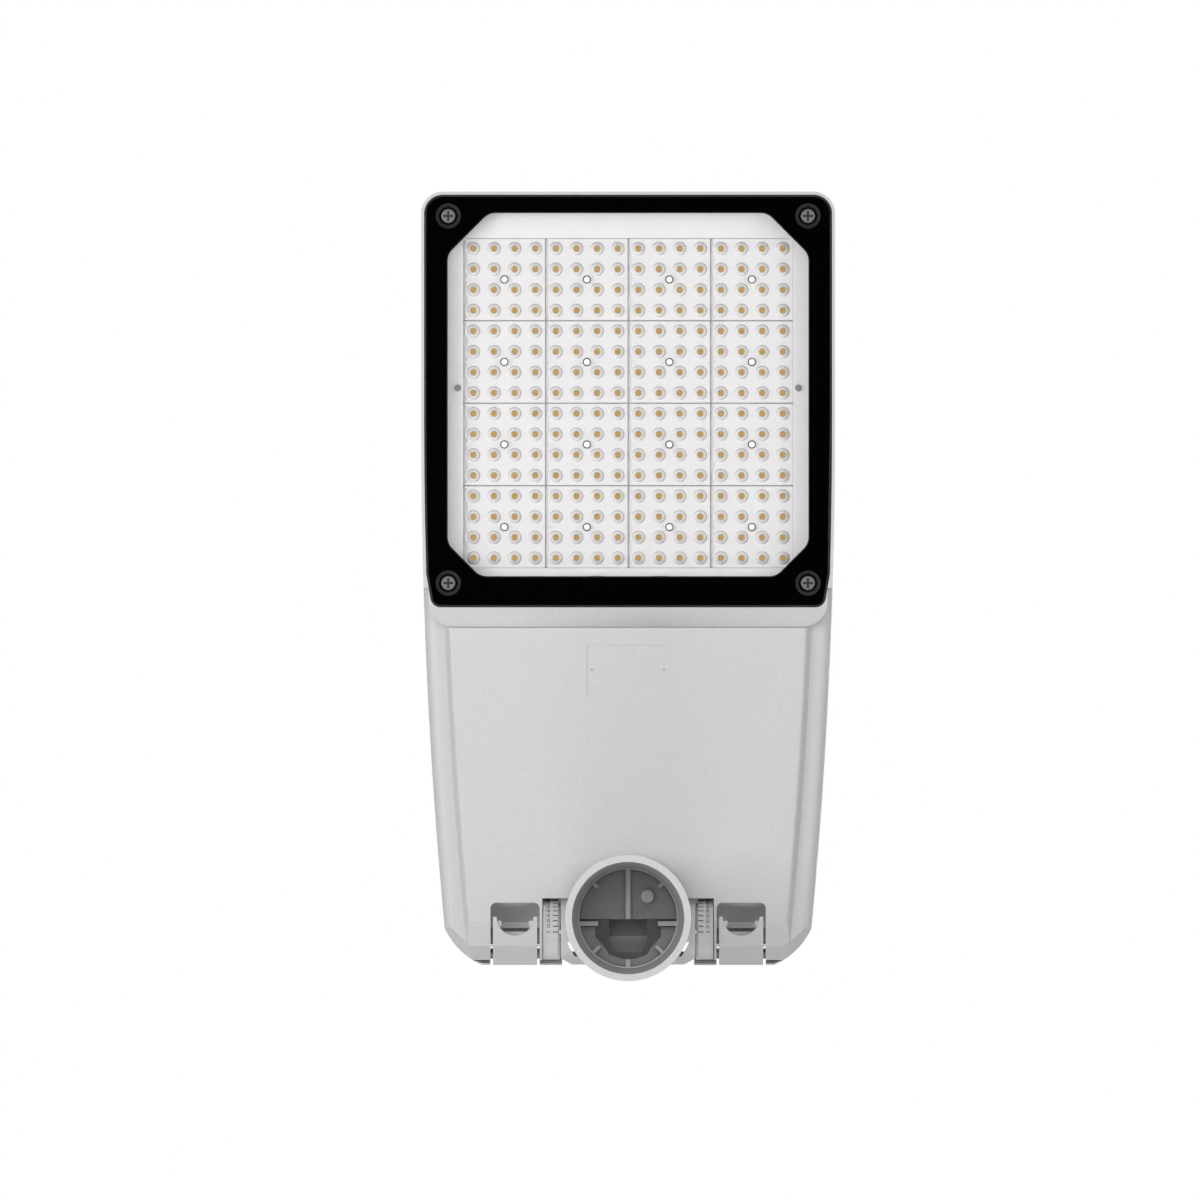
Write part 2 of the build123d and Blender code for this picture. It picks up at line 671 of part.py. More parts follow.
def pan_section():
    """The pan from the side, in Y and Z, with its two bands at the rear."""
    section = polygon([
        (WING_Y, PAN_Z),
        (BAND_1_START_Y, PAN_Z),
        BAND_2_START,
        (PAN_REAR_Y, BAND_2_END_Z),
        (PAN_REAR_Y, TALL),
        (WING_Y, TALL),
    ])
    ridge = section.vertices().filter_by(lambda v: abs(v.X - BAND_2_START[0]) < 0.1)
    return fillet(ridge, RIDGE_R)


def flank_edges(body, z):
    """The long edges at one height, without those at the nose and the tail."""
    level = body.edges().filter_by(lambda e: abs(e.center().Z - z) < 0.2)
    return level.filter_by(lambda e: abs(e.center().X) > HALF_WIDTH / 2)


def corner_bevel(amount):
    """What the bevel along the rear corner takes away, on the +X side."""
    start, middle, end = rear_corner()
    along = (end - start).normalized()
    outward = Vector(along.Y, -along.X)
    foot = (start + end) * 0.5 - outward * BEVEL_WIDTH + Vector(0, 0, BEVEL_Z[0])
    facing = (outward * (BEVEL_Z[1] - BEVEL_Z[0]) - Vector(0, 0, BEVEL_WIDTH)).normalized()
    plane = Plane(foot - facing * amount, x_dir=along, z_dir=facing)
    return plane * Pos(0, 0, TALL / 4) * Box(TALL / 2, TALL / 2, TALL / 2)


def pan_form(amount, top_z):
    """The pan's outer form, or its inner one at the wall's thickness."""
    shoulder_z = SHOULDER_Z + amount
    upper = plan_prism(inset(flank_outline(), amount), (shoulder_z, top_z))
    upper = fillet(flank_edges(upper, shoulder_z), SHOULDER_EDGE_R - amount)
    top = inset(flank_outline(), SHOULDER_INSET + amount)
    bottom = inset(flank_outline(), KEEL_INSET + amount)
    lower = loft([Pos(0, 0, shoulder_z + KEEL_R) * top, Pos(0, 0, PAN_Z + amount) * bottom])
    lower = fillet(flank_edges(lower, PAN_Z + amount), KEEL_R)
    body = (upper + lower) & plan_prism(inset(head_outline(), amount), (0, TALL))
    body &= side_prism(inset(pan_section(), amount), (-HALF_WIDTH, HALF_WIDTH))
    body -= both_sides(corner_bevel(amount))
    return body - plan_prism(seam_region(amount), (0, TALL))


def bulkhead():
    """The walls between the gear bay and the notch for the spigot."""
    outer_x = NOTCH_HALF_WIDTH + BULKHEAD
    walls = block((-outer_x, outer_x), (NOTCH_Y - BULKHEAD, PAN_REAR_Y), (PAN_Z, TALL))
    walls &= head_form(LID_WALL + SEAM_GAP)
    catch_x = (LATCH_X - POCKET_HALF_WIDTH - SEAM_GAP, outer_x + 1)
    clear = block(catch_x, (CATCH_WALL_Y[0] - SEAM_GAP, TALL), (PAN_RIM_Z, TALL))
    return walls - both_sides(clear)


def hood():
    """The housing of one latch inside the bay, on the +X side."""
    reach = POCKET_HALF_WIDTH + HOOD_WALL
    x = (LATCH_X - reach, LATCH_X + reach)
    walls = block(x, (HOOD_FRONT_Y - HOOD_WALL, HOOD_REAR_Y), (PAN_Z, HOOD_TOP_Z))
    middle_y, middle_z = DISH_MID
    end_y, end_z = DISH_END
    ramp = polygon([
        (POCKET_Y - HOOD_WALL, PAN_Z),
        (middle_y - HOOD_WALL, middle_z + HOOD_WALL),
        (end_y - HOOD_WALL, end_z + HOOD_WALL),
        (HOOD_FRONT_Y, end_z + HOOD_WALL),
        (HOOD_FRONT_Y, PAN_RIM_Z),
        (PAN_REAR_Y, PAN_RIM_Z),
        (PAN_REAR_Y, PAN_Z),
    ])
    return walls + side_prism(ramp, x)


def latch_pocket():
    """The space cut out for one latch, on the +X side, from the finger recess to the rear."""
    x = (LATCH_X - POCKET_HALF_WIDTH, LATCH_X + POCKET_HALF_WIDTH)
    start = (POCKET_Y, PAN_Z - 1)
    dish = ThreePointArc((POCKET_Y, PAN_Z), DISH_MID, DISH_END)
    rest = Polyline(
        DISH_END,
        (HOOD_FRONT_Y, DISH_END[1]),
        (HOOD_FRONT_Y, HOOD_TOP_Z - HOOD_WALL),
        (REAR_Y + 1, HOOD_TOP_Z - HOOD_WALL),
        (REAR_Y + 1, PAN_Z - 1),
        start,
        (POCKET_Y, PAN_Z),
    )
    depth = REAR_Y + 1 - POCKET_Y
    plan = Pos(LATCH_X, POCKET_Y + depth / 2) * Rectangle(2 * POCKET_HALF_WIDTH, depth)
    plan = fillet(plan.vertices().sort_by(Axis.Y)[0:2], POCKET_CORNER_R)
    return side_prism(make_face([dish, rest]), x) & plan_prism(plan, (0, TALL))


def cheeks():
    """The two lugs of the head that carry the tilt bolt."""
    low, high = CHEEK_X
    lug = rod_x(DIAL_R, (low, high), TILT_Y, TILT_Z)
    corner = polygon([
        (high + 1, TILT_Y + DIAL_R - CHEEK_CHAMFER[1]),
        (high, TILT_Y + DIAL_R - CHEEK_CHAMFER[1]),
        (high - CHEEK_CHAMFER[0], TILT_Y + DIAL_R),
        (high - CHEEK_CHAMFER[0], TILT_Y + DIAL_R + 1),
        (high + 1, TILT_Y + DIAL_R + 1),
    ])
    lug -= plan_prism(corner, (0, TALL))
    link_z = (CHEEK_LINK_Z, TILT_Z + DIAL_R)
    lug += block((low, high), (NOTCH_Y - BULKHEAD, TILT_Y), link_z)
    lug -= block((low, high), (NOTCH_Y, CHEEK_TOE_Y), (0, CHEEK_LINK_Z))
    relief = rod_z(RELIEF_R, 0, 0, (0, TALL))
    lug -= relief & block((-TALL, TALL), RELIEF_Y, (0, TALL))
    groove_y = (RELIEF_Y[1] - 0.1, RELIEF_GROOVE_Y)
    lug -= relief & block((-TALL, TALL), groove_y, (0, RELIEF_GROOVE_TOP_Z))
    lug -= rod_x(BOLT_R + RUNNING_CLEARANCE, (low - 1, high + 1), TILT_Y, TILT_Z)
    tip = polygon([
        (high - 0.5, TILT_Y - POINTER_HALF_WIDTH),
        (high + 0.6, TILT_Y - POINTER_HALF_WIDTH),
        (DIAL_GROOVE_X - 0.3, TILT_Y),
        (high + 0.6, TILT_Y + POINTER_HALF_WIDTH),
        (high - 0.5, TILT_Y + POINTER_HALF_WIDTH),
    ])
    bottom = TILT_Z - DIAL_R
    lug += plan_prism(tip, (bottom, TILT_Z - DIAL_GROOVE_R - 0.3))
    return both_sides(lug)


def bay_post(x, y, height):
    post = rod_z(BAY_SCREW_R + 2.2, x, y, (PAN_FLOOR_Z - 0.5, PAN_FLOOR_Z + height))
    return post - rod_z(BAY_SCREW_R + HOLE_CLEARANCE, x, y, (PAN_FLOOR_Z + 0.5, TALL))


def gear_pan():
    body = pan_form(0, PAN_RIM_Z) - pan_form(PAN_WALL, TALL)
    notch_x = (-NOTCH_HALF_WIDTH, NOTCH_HALF_WIDTH)
    body += bulkhead() & pan_form_reach()
    body += both_sides(hood()) & pan_form_reach()
    body -= block(notch_x, (NOTCH_Y, REAR_Y + 1), (0, TALL))
    body -= both_sides(latch_pocket())
    body += cheeks()
    for places, height in bay_posts():
        for x, y in places:
            body += bay_post(x, y, height)
    wall_y = (NOTCH_Y - BULKHEAD - 1, NOTCH_Y + 1)
    body -= rod_y(CABLE_HOLE_R, 0, wall_y, CABLE_HOLE_Z)
    front_wall = (BAY_FRONT_Y - 1, BAY_INNER_Y + 1)
    body -= rod_y(WIRE_HOLE_R, WIRE_HOLE_X, front_wall, WIRE_HOLE_Z)
    for x in JOINT_SCREW_XS:
        body -= rod_y(JOINT_SCREW_R + HOLE_CLEARANCE, x, front_wall, JOINT_SCREW_Z)
    body -= rod_y(VENT_BORE_R, VENT_X, front_wall, VENT_Z)
    body -= plan_prism(seam_region(SEAM_GROOVE), (0, PAN_Z + SEAM_GROOVE_DEPTH))
    body -= block((-PLATE_HALF_WIDTH, PLATE_HALF_WIDTH), PLATE_Y, (0, PAN_Z + PLATE_DEPTH))
    for x in (-PLATE_PIN_X, PLATE_PIN_X):
        body -= rod_z(PLATE_PIN_R, x, sum(PLATE_Y) / 2, (0, PAN_Z + 1.5))
    hole = LATCH_PIN_R
    for side in (-1, 1):
        reach = POCKET_HALF_WIDTH + HOOD_WALL - 1
        x = (side * LATCH_X - reach, side * LATCH_X + reach)
        body -= rod_x(hole, x, LATCH_PIN_Y, LATCH_PIN_Z)
    return body


def pan_form_reach():
    """Everything inside the pan's outer surface, carried up to the lid."""
    return pan_form(0.5, TALL)


def driver_holes():
    reach = DRIVER_SIZE[1] / 2 + DRIVER_FLANGE / 2
    return [(DRIVER_CENTRE[0], DRIVER_CENTRE[1] + side * reach) for side in (-1, 1)]


def surge_holes():
    reach = SURGE_SIZE[0] / 2 + 4
    return [(SURGE_CENTRE[0] + side * reach, SURGE_CENTRE[1]) for side in (-1, 1)]


def terminal_holes():
    reach = TERMINAL_SIZE[0] / 2 + 4
    return [(TERMINAL_CENTRE[0] + side * reach, TERMINAL_CENTRE[1]) for side in (-1, 1)]


def clamp_holes():
    reach = CLAMP_SIZE[0] / 2 - 5
    return [(CLAMP_CENTRE[0] + side * reach, CLAMP_CENTRE[1]) for side in (-1, 1)]


def bay_posts():
    return [
        (driver_holes(), BOARD_POST_H),
        (surge_holes(), BOARD_POST_H),
        (terminal_holes(), BOARD_POST_H),
        (clamp_holes(), CABLE_HOLE_Z - PAN_FLOOR_Z - CLAMP_HUMP_R),
        ([(EARTH_X, EARTH_Y)], BOARD_POST_H),
    ]


def bay_gasket():
    """A flat seal on the pan's rim, under the lid, in two parts beside the spigot's notch."""
    rim = head_outline() & Pos(0, (BAY_FRONT_Y + PAN_REAR_Y) / 2) * Rectangle(
        2 * HALF_WIDTH, PAN_REAR_Y - BAY_FRONT_Y
    )
    seal = plan_prism(inset(rim, 0.6) - inset(rim, PAN_WALL), (PAN_RIM_Z, PAN_RIM_Z + BAY_SEAL_HEIGHT))
    reach = LATCH_X + POCKET_HALF_WIDTH + HOOD_WALL
    return seal - block((-reach, reach), (HOOD_FRONT_Y, TALL), (0, TALL))


# Gear lid and its hinge

def hinge_place():
    """Where the lid's hinge axis stands, on the roof above the seam."""
    back = TangentArc(CREST, BROW, tangent=(-1, 0))
    at = SEAM_Y + SEAM_GAP / 2
    reach = (CREST[0] - at) / (CREST[0] - BROW[0])
    radius = back.radius
    drop = radius - (radius ** 2 - (CREST[0] - at) ** 2) ** 0.5
    assert reach < 1
    return at, CREST[1] - drop + HINGE_RISE


def hinge_knuckles(on_lid):
    """Knuckles of the two hinges: one on the lid between two on the lamp housing."""
    y, z = hinge_place()
    leaf = 9.0
    knuckles = []
    for side in (-1, 1):
        middle = side * HINGE_X
        half = HINGE_KNUCKLE / 2
        if on_lid:
            spans = [(middle - half + HINGE_GAP, middle + half - HINGE_GAP)]
            leaf_y = (y, y + leaf)
        else:
            spans = [(middle - half * 2, middle - half), (middle + half, middle + half * 2)]
            leaf_y = (y - leaf, y)
        for span in spans:
            knuckle = rod_x(HINGE_BARREL_R, span, y, z)
            knuckle += block(span, leaf_y, (z - HINGE_BARREL_R - 1.5, z))
            bore = HINGE_PIN_R + (RUNNING_CLEARANCE if on_lid else 0)
            knuckles.append(knuckle - rod_x(bore, (span[0] - 1, span[1] + 1), y, z))
    first, *others = knuckles
    return first.fuse(*others)


def hinge_pins():
    y, z = hinge_place()
    span = (HINGE_X - HINGE_KNUCKLE, HINGE_X + HINGE_KNUCKLE)
    pin = rod_x(HINGE_PIN_R, span, y, z)
    return Compound(children=[pin, mirrored(pin)])


def gear_lid():
    above = block((-TALL, TALL), (LID_FRONT_Y, TALL), (LID_Z, TALL))
    inside = block((-TALL, TALL), (LID_FRONT_Y + LID_WALL, TALL), (0, TALL))
    body = (head_form(0) & above) - (head_form(LID_WALL) & inside)
    lip = head_outline() - inset(head_outline(), LIP_THICKNESS)
    lip_prism = plan_prism(lip, (LIP_Z, LID_Z + 1))
    lip_prism &= block((-TALL, TALL), (PAN_REAR_Y + SEAM_GAP, TALL), (0, TALL))
    over_dials = (-NOTCH_HALF_WIDTH, NOTCH_HALF_WIDTH)
    body += lip_prism - block(over_dials, (0, TALL), (0, LIP_Z_OVER_DIALS))
    mouth_x = (-LID_MOUTH_HALF_WIDTH, LID_MOUTH_HALF_WIDTH)
    body -= block(mouth_x, (NOTCH_Y, TALL), (0, TALL))
    for side in (-1, 1):
        x = (side * LATCH_X - POCKET_HALF_WIDTH, side * LATCH_X + POCKET_HALF_WIDTH)
        body += block(x, CATCH_WALL_Y, (CATCH_Z, TAIL_TOP_Z - 1))
        ledge_z = (CATCH_Z, CATCH_Z + CATCH_LEDGE_HEIGHT)
        body += block(x, (CATCH_LEDGE_Y, CATCH_WALL_Y[0]), ledge_z)
        body -= block(x, (CATCH_WALL_Y[1], TALL), (0, TALL))
    body -= block((-TALL, TALL), (REAR_Y, TALL), (0, TALL))
    y, z = hinge_place()
    for side in (-1, 1):
        half = HINGE_KNUCKLE + HINGE_GAP
        x = (side * HINGE_X - half, side * HINGE_X + half)
        body -= rod_x(HINGE_BARREL_R + HINGE_GAP, x, y, z)
    return body + hinge_knuckles(on_lid=True)


# Latches

def latch(side):
    """A pull latch: finger tongue below, and an arm behind it that holds the lid's ledge."""
    x = (LATCH_X - TONGUE_HALF_WIDTH, LATCH_X + TONGUE_HALF_WIDTH)
    skin = polygon([
        (TONGUE_TIP_Y, PAN_Z),
        (BAND_1_START_Y, PAN_Z),
        BAND_2_START,
        (TONGUE_END_Y, TONGUE_END_Z),
        (TONGUE_END_Y - TONGUE_THICKNESS, TONGUE_END_Z + 0.6),
        (BAND_2_START[0] - 1.4, BAND_2_START[1] + TONGUE_THICKNESS),
        (BAND_1_START_Y - 0.4, PAN_Z + TONGUE_THICKNESS),
        (TONGUE_TIP_Y, PAN_Z + TONGUE_THICKNESS),
    ])
    ridge = skin.vertices().filter_by(lambda v: abs(v.X - BAND_2_START[0]) < 0.1)
    body = side_prism(fillet(ridge, RIDGE_R), x)
    depth = FINGER_END_Y - TONGUE_TIP_Y
    cut = Pos(LATCH_X, TONGUE_TIP_Y) * Ellipse(FINGER_HALF_WIDTH, depth)
    body -= plan_prism(cut, (0, TALL))
    arm_x = (LATCH_X - ARM_HALF_WIDTH, LATCH_X + ARM_HALF_WIDTH)
    front = LATCH_PIN_Y - ARM_THICKNESS
    top = CATCH_Z + CATCH_LEDGE_HEIGHT + 0.4
    arm = polygon([
        (front, BAND_2_START[1] + 1),
        (LATCH_PIN_Y, BAND_2_START[1] + 1),
        (LATCH_PIN_Y, top),
        (NOSE_TIP_Y, top),
        (LATCH_PIN_Y, top + NOSE_HEIGHT),
        (front, top + NOSE_HEIGHT),
    ])
    body += side_prism(arm, arm_x)
    body += block(arm_x, (LATCH_LIP_Y, front + 1), LATCH_LIP_Z)
    for inner in (LATCH_EAR_X[0], -LATCH_EAR_X[1]):
        ear_x = (LATCH_X + inner, LATCH_X + inner + LATCH_EAR_X[1] - LATCH_EAR_X[0])
        body += block(ear_x, LATCH_EAR_Y, (PAN_Z + TONGUE_THICKNESS - 0.5, LATCH_EAR_Z))
    body += rod_x(LATCH_BARREL_R, arm_x, LATCH_PIN_Y, LATCH_PIN_Z)
    bore = LATCH_PIN_R + RUNNING_CLEARANCE
    body -= rod_x(bore, x, LATCH_PIN_Y, LATCH_PIN_Z)
    return body if side > 0 else mirrored(body)


def latch_pins():
    reach = POCKET_HALF_WIDTH + HOOD_WALL - 1
    span = (LATCH_X - reach, LATCH_X + reach)
    pin = rod_x(LATCH_PIN_R, span, LATCH_PIN_Y, LATCH_PIN_Z)
    return Compound(children=[pin, mirrored(pin)])


# Spigot and tilt joint

def rib(angle, inner, width, z):
    """A rib on the socket's floor, from its wall inwards."""
    bar = block((inner, SOCKET_FLOOR_R + 0.5), (-width / 2, width / 2), z)
    return Rot(0, 0, angle) * bar


def socket_ribs():
    z = (0, SOCKET_FLOOR_Z + FLOOR_GROOVE_DEPTH + 0.5)
    low, high = DIAGONAL_RIB_INNER_R
    ribs = rib(270, -CABLE_Y[0], RIB_WIDTH, z)
    ribs += rib(90, FOOT_RIB_INNER_R, RIB_WIDTH, z)
    for angle, inner in ((45, low), (135, low), (225, high), (315, high)):
        ribs += rib(angle, inner, DIAGONAL_RIB_WIDTH, z)
    deep = (0, SOCKET_FLOOR_Z + CABLE_RECESS_DEPTH + 0.5)
    for angle in (0, 180):
        ribs += Pos(0, SIDE_RIB_Y) * rib(angle, SIDE_RIB_INNER_X, RIB_WIDTH, deep)
    return ribs & rod_z(SOCKET_FLOOR_R + 0.5, 0, 0, (0, CROWN_Z))


def floor_grooves():
    """The shallow outlines cast into the socket's floor."""
    groove_z = (0, SOCKET_FLOOR_Z + FLOOR_GROOVE_DEPTH)
    ring = rod_z(SOCKET_FLOOR_R, 0, 0, groove_z)
    grooves = ring - rod_z(SOCKET_FLOOR_R - FLOOR_GROOVE_WIDTH, 0, 0, groove_z)
    for outline in (HORN, SLOT):
        shape = polygon(outline)
        half = OUTLINE_WIDTH / 2
        grooves += both_sides(plan_prism(inset(shape, -half) - inset(shape, half), groove_z))
    return grooves


def cable_recess():
    """The deeper part of the socket's floor round the cable's way."""
    recess_z = (0, SOCKET_FLOOR_Z + CABLE_RECESS_DEPTH)
    left = [(-x, y) for x, y in reversed(CABLE_RECESS)]
    recess = plan_prism(polygon(CABLE_RECESS + left), recess_z)
    recess += block((-SOCKET_FLOOR_R, SOCKET_FLOOR_R), SIDE_CHANNEL_Y, recess_z)
    return recess & rod_z(SOCKET_FLOOR_R, 0, 0, recess_z)


def cable_room():
    """The space for the cable above the socket's floor, open towards the gear bay."""
    low, high = CABLE_Y
    step, middle = CABLE_SHELL
    shell = ThreePointArc(step, middle, (high, CROWN_Z - 1))
    rest = Polyline(
        (high, CROWN_Z - 1),
        (TILT_Y - HUB_R - 1, CROWN_Z - 1),
        (TILT_Y - HUB_R - 1, HUB_CEILING_Z),
        (step[0], HUB_CEILING_Z),
        step,
    )
    x = (-HUB_ROOM_HALF_WIDTH, HUB_ROOM_HALF_WIDTH)
    room = side_prism(make_face([shell, rest]), x)
    return room - block(x, (TILT_Y - HUB_R - 2, low), (0, CROWN_Z + CABLE_WALL))


def cable_mouth():
    """The D-shaped way through the socket's floor."""
    half = CABLE_HALF_WIDTH
    centre_y = CABLE_Y[1] - half
    z = (0, CROWN_Z + 0.5)
    return block((-half, half), (CABLE_Y[0], centre_y), z) + rod_z(half, 0, centre_y, z)


def pole_spigot():
    body = rod_z(SOCKET_OUTER_R, 0, 0, (-SOCKET_DEPTH, CROWN_Z))
    body -= rod_z(SOCKET_BORE_R, 0, 0, (-SOCKET_DEPTH, 0))
    lead_in = Cone(SOCKET_MOUTH_R, SOCKET_BORE_R, LEAD_IN)
    body -= Pos(0, 0, LEAD_IN / 2 - SOCKET_DEPTH) * lead_in
    body -= rod_z(SOCKET_FLOOR_R, 0, 0, (-1, SOCKET_FLOOR_Z))
    body -= floor_grooves()
    body -= cable_recess()
    body += socket_ribs()
    body += rod_z(BOSS_R, BOSS_X, BOSS_Y, (0, SOCKET_FLOOR_Z + 0.5))
    hub_x = (-HUB_HALF_WIDTH, HUB_HALF_WIDTH)
    body += rod_x(HUB_R, hub_x, TILT_Y, TILT_Z)
    body += block(hub_x, (TILT_Y - HUB_R, CABLE_Y[1] + CABLE_WALL), (CROWN_Z - 1, TILT_Z))
    body -= cable_room()
    body -= cable_mouth()
    for side in (-1, 1):
        thread = (side * HUB_ROOM_HALF_WIDTH, side * (HUB_HALF_WIDTH + 1))
        body -= rod_x(BOLT_R, thread, TILT_Y, TILT_Z)
    for z in POLE_SCREW_ZS:
        body -= rod_y(POLE_SCREW_R, 0, (SOCKET_BORE_R - 2, SOCKET_OUTER_R + 1), z)
    return body


def pole_screws():
    """Grub screws that clamp the pole, flush with the spigot's outer wall."""
    screw = rod_y(POLE_SCREW_R, 0, (SOCKET_BORE_R + 0.4, SOCKET_OUTER_R - 0.3), 0)
    hexagon = Pos(0, SOCKET_OUTER_R, 0) * Rot(90, 0, 0) * RegularPolygon(2.3, 6)
    screw -= extrude(hexagon, amount=3.5, both=True)
    return shifted_copies(screw, [(0, 0, z) for z in POLE_SCREW_ZS])


def hexagon_x(radius, x):
    face = Plane.YZ * Pos(TILT_Y, TILT_Z) * RegularPolygon(radius, 6)
    return Pos(x[0], 0, 0) * extrude(face, amount=x[1] - x[0])


def pivot_bolts():
    """One bolt from each side, so that the cable has a free way between them."""
    inner = DIAL_X[1] - BOLT_HEAD_DEPTH
    bolt = hexagon_x(BOLT_HEAD_R, (inner, DIAL_X[1] - BOLT_HEAD_SINK))
    bolt += rod_x(BOLT_R, (HUB_ROOM_HALF_WIDTH + 1, inner + 1), TILT_Y, TILT_Z)
    return Compound(children=[bolt, mirrored(bolt)])


def tilt_dial(side):
    """A drum beside the head's lug that turns with the spigot and carries the tilt scale."""
    body = rod_x(DIAL_R, DIAL_X, TILT_Y, TILT_Z)
    groove = rod_x(DIAL_R + 1, (DIAL_X[0], DIAL_GROOVE_X), TILT_Y, TILT_Z)
    body -= groove - rod_x(DIAL_GROOVE_R, (DIAL_X[0], DIAL_GROOVE_X), TILT_Y, TILT_Z)
    line = rod_x(DIAL_R + 1, DIAL_LINE_X, TILT_Y, TILT_Z)
    body -= line - rod_x(DIAL_R - DIAL_LINE_DEPTH, DIAL_LINE_X, TILT_Y, TILT_Z)
    body -= block(DIAL_X, (DIAL_FLAT_Y, TALL), (0, TALL))
    body -= rod_x(BOLT_R, (DIAL_X[0] - 1, DIAL_X[1]), TILT_Y, TILT_Z)
    inner = DIAL_X[1] - BOLT_HEAD_DEPTH
    body -= hexagon_x(BOLT_HEAD_R + HOLE_CLEARANCE, (inner, DIAL_X[1] + 1))
    return body if side > 0 else mirrored(body)


# Inside the gear bay

def flanged_box(size, centre, flange, along_y):
    """A closed case on two flanges that rest on the pan's posts."""
    x, y = centre
    z = PAN_FLOOR_Z + BOARD_POST_H
    half = [length / 2 for length in size]
    case = block((x - half[0], x + half[0]), (y - half[1], y + half[1]), (z, z + size[2]))
    case = fillet(case.edges().filter_by(Axis.Z), 3)
    if along_y:
        reach = (min(half[0], 14), half[1] + flange)
    else:
        reach = (half[0] + flange, min(half[1], 8))
    leaf_z = (z, z + DRIVER_FLANGE_THICKNESS)
    return case + block((x - reach[0], x + reach[0]), (y - reach[1], y + reach[1]), leaf_z)


def with_holes(body, places):
    for x, y in places:
        body -= rod_z(BAY_SCREW_R + HOLE_CLEARANCE, x, y, (0, TALL))
    return body


def bay_screws(places, seat_z, depth):
    screw = rod_z(BAY_SCREW_HEAD_R, 0, 0, (seat_z, seat_z + BAY_SCREW_HEAD_H))
    screw = fillet(screw.edges().sort_by(Axis.Z)[-1], 1.0)
    screw += rod_z(BAY_SCREW_R, 0, 0, (seat_z - depth, seat_z))
    recess = cross_recess(BAY_SCREW_HEAD_R * 1.1, 1.1)
    screw -= Pos(0, 0, seat_z + BAY_SCREW_HEAD_H) * recess
    return shifted_copies(screw, places)


def gear_driver():
    body = flanged_box(DRIVER_SIZE, DRIVER_CENTRE, DRIVER_FLANGE, along_y=True)
    return with_holes(body, driver_holes())


def surge_protector():
    body = flanged_box(SURGE_SIZE, SURGE_CENTRE, 8, along_y=False)
    return with_holes(body, surge_holes())


def terminal_block():
    body = flanged_box(TERMINAL_SIZE, TERMINAL_CENTRE, 8, along_y=False)
    top = PAN_FLOOR_Z + BOARD_POST_H + TERMINAL_SIZE[2]
    for step in grid(TERMINAL_WAYS, 9.6):
        x = TERMINAL_CENTRE[0] + step
        body -= rod_z(2.4, x, TERMINAL_CENTRE[1], (top - 7, top + 1))
        body -= rod_y(2.2, x, (TERMINAL_CENTRE[1] - 20, TERMINAL_CENTRE[1] - 4), top - 9)
    return with_holes(body, terminal_holes())


def seat_height():
    return PAN_FLOOR_Z + BOARD_POST_H + DRIVER_FLANGE_THICKNESS


def post_depth():
    return BOARD_POST_H + DRIVER_FLANGE_THICKNESS - 1


def cord_clamp():
    x, y = CLAMP_CENTRE
    z = CABLE_HOLE_Z - CLAMP_HUMP_R
    half = [length / 2 for length in CLAMP_SIZE]
    body = block((x - half[0], x + half[0]), (y - half[1], y + half[1]), (z, z + CLAMP_SIZE[2] / 2))
    body += rod_y(CLAMP_HUMP_R + 2.5, x, (y - half[1], y + half[1]), z + 1)
    body -= rod_y(CLAMP_HUMP_R, x, (y - half[1] - 1, y + half[1] + 1), z + 1)
    body -= block((x - 20, x + 20), (y - 20, y + 20), (0, z))
    return with_holes(body, clamp_holes())


def clamp_screws():
    seat = CABLE_HOLE_Z - CLAMP_HUMP_R + CLAMP_SIZE[2] / 2
    return bay_screws(clamp_holes(), seat, 9.5)


def grommet(radius, x, z, wall_y):
    """A rubber ring in a wall, with a lip on both sides."""
    y0, y1 = wall_y
    ring = rod_y(radius, x, wall_y, z)
    ring += rod_y(radius + GROMMET_LIP, x, (y0 - 1.5, y0), z)
    ring += rod_y(radius + GROMMET_LIP, x, (y1, y1 + 1.5), z)
    return ring - rod_y(radius - 2, x, (y0 - 3, y1 + 3), z)


def cable_grommet():
    return grommet(CABLE_HOLE_R, 0, CABLE_HOLE_Z, (NOTCH_Y - BULKHEAD, NOTCH_Y))


def wire_grommet():
    ring = rod_y(WIRE_HOLE_R, WIRE_HOLE_X, (FIN_END_Y + 2, BAY_INNER_Y), WIRE_HOLE_Z)
    lip = (BAY_INNER_Y, BAY_INNER_Y + 1.5)
    ring += rod_y(WIRE_HOLE_R + GROMMET_LIP, WIRE_HOLE_X, lip, WIRE_HOLE_Z)
    return ring - rod_y(WIRE_HOLE_R - 2, WIRE_HOLE_X, (FIN_END_Y, BAY_INNER_Y + 3), WIRE_HOLE_Z)


def vent_plug():
    body = rod_y(VENT_R, VENT_X, (BAY_INNER_Y, BAY_INNER_Y + 3.5), VENT_Z)
    return body + rod_y(VENT_BORE_R, VENT_X, (BAY_FRONT_Y, BAY_INNER_Y), VENT_Z)


def earth_screw():
    return bay_screws([(EARTH_X, EARTH_Y)], PAN_FLOOR_Z + BOARD_POST_H, BOARD_POST_H - 1)


def joint_screws():
    screw = rod_y(JOINT_SCREW_HEAD_R, 0, (BAY_INNER_Y, BAY_INNER_Y + JOINT_SCREW_HEAD_H), 0)
    screw += rod_y(JOINT_SCREW_R, 0, (SEAM_Y - JOINT_SCREW_LENGTH + 1, BAY_INNER_Y), 0)
    face = Pos(0, BAY_INNER_Y + JOINT_SCREW_HEAD_H, 0) * Rot(90, 0, 0) * RegularPolygon(2.9, 6)
    screw -= extrude(face, amount=2.5, both=True)
    return shifted_copies(screw, [(x, 0, JOINT_SCREW_Z) for x in JOINT_SCREW_XS])


